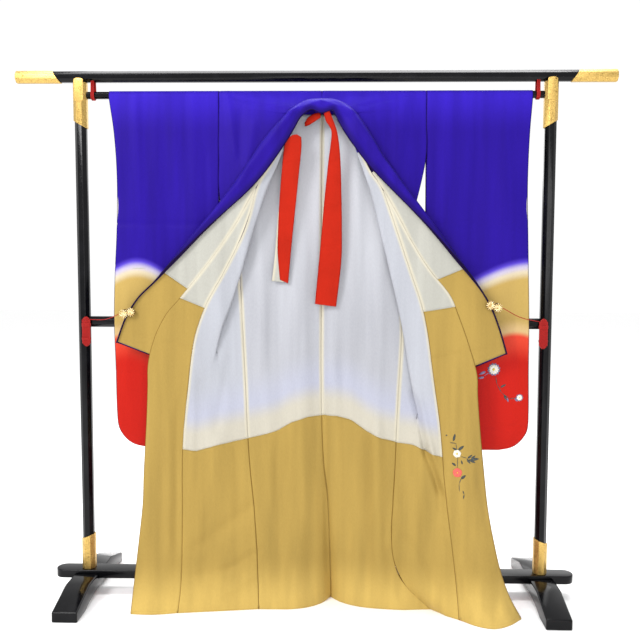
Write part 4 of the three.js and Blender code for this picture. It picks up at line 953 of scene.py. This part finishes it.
# Painted shade: the clip's own disc is dark brass, so the gaps between the petals read dark.
for side, _ in SIDES:
    for part in cad[f"clip_{side}"].material_slots:
        part.material = CLIP_BRASS_PAINTED_SHADE
    for part in cad[f"clip_cord_{side}"].material_slots:
        part.material = CORD


# ---------------------------------------------------------------- floor, light and camera
def studio():
    """A white paper floor and a white room, with soft lamps in front, at the sides and behind."""
    bm = bmesh.new()
    bmesh.ops.create_grid(bm, x_segments=1, y_segments=1, size=14)
    mesh = bpy.data.meshes.new("floor")
    bm.to_mesh(mesh)
    bm.free()
    floor = bpy.data.objects.new("floor", mesh)
    bpy.context.scene.collection.objects.link(floor)
    material, tree, shader, place = new_material("white_studio_paper", Roughness=0.95, Specular_IOR_Level=0.1)
    fibre = put(tree, "TexNoise", {"Scale": 1 / 0.02, "Detail": 3.0}, {"Vector": place})
    paper = dyed_over(tree, "#f7f7f7", "#fbfbfb", fibre.outputs[0], 0.3, 0.7)
    tree.links.new(paper, shader.inputs["Base Color"])
    floor.data.materials.append(material)
    world = bpy.data.worlds.new("studio")
    bpy.context.scene.world = world
    world.use_nodes = True
    world.node_tree.nodes["Background"].inputs["Color"].default_value = (1, 1, 1, 1)
    world.node_tree.nodes["Background"].inputs["Strength"].default_value = 1.04
    for lamp_row in table(
        "name place aim size power",
        ("key", (-2.4, -2.8, 3.2), (0, 0, 0.8), (1.4, 1.4), 122),
        ("front", (0.6, -3.1, 1.35), (0, 0, 0.9), (1.6, 1.6), 34),
        ("back", (0.5, 3.0, 2.8), (0, 0, 0.9), (2.6, 2.6), 30),
        ("overhead", (0, 0.5, 3.9), (0, 0, 0.9), (3.4, 0.9), 100),
    ):
        data = bpy.data.lights.new(lamp_row["name"], "AREA")
        data.shape, (data.size, data.size_y), data.energy = "RECTANGLE", lamp_row["size"], lamp_row["power"]
        lamp = bpy.data.objects.new(lamp_row["name"], data)
        lamp.location = lamp_row["place"]
        aim = Vector(lamp_row["aim"]) - Vector(lamp_row["place"])
        lamp.rotation_euler = aim.to_track_quat("-Z", "Y").to_euler()
        bpy.context.scene.collection.objects.link(lamp)


CAMERA = {"place_m": (0.090138, -2.555122, 1.095484), "turn": (-0.027, 0.077, 0.003), "lens_mm": 45,
          "sensor_mm": 36}


def camera():
    """A camera in front, a little right of the middle, looking slightly down."""
    yaw, pitch, roll = CAMERA["turn"]
    forward = Vector((math.sin(yaw) * math.cos(pitch), math.cos(yaw) * math.cos(pitch), -math.sin(pitch)))
    flat_right = Vector((math.cos(yaw), -math.sin(yaw), 0))
    flat_up = flat_right.cross(forward)
    right = flat_right * math.cos(roll) + flat_up * math.sin(roll)
    up = flat_up * math.cos(roll) - flat_right * math.sin(roll)
    data = bpy.data.cameras.new("camera")
    data.lens, data.sensor_width = CAMERA["lens_mm"], CAMERA["sensor_mm"]
    made = bpy.data.objects.new("camera", data)
    turn = Matrix((right, up, -forward)).transposed().to_4x4()
    made.matrix_world = Matrix.Translation(CAMERA["place_m"]) @ turn
    bpy.context.scene.collection.objects.link(made)
    bpy.context.scene.camera = made


studio()
camera()
bpy.context.scene.view_settings.view_transform = "Standard"
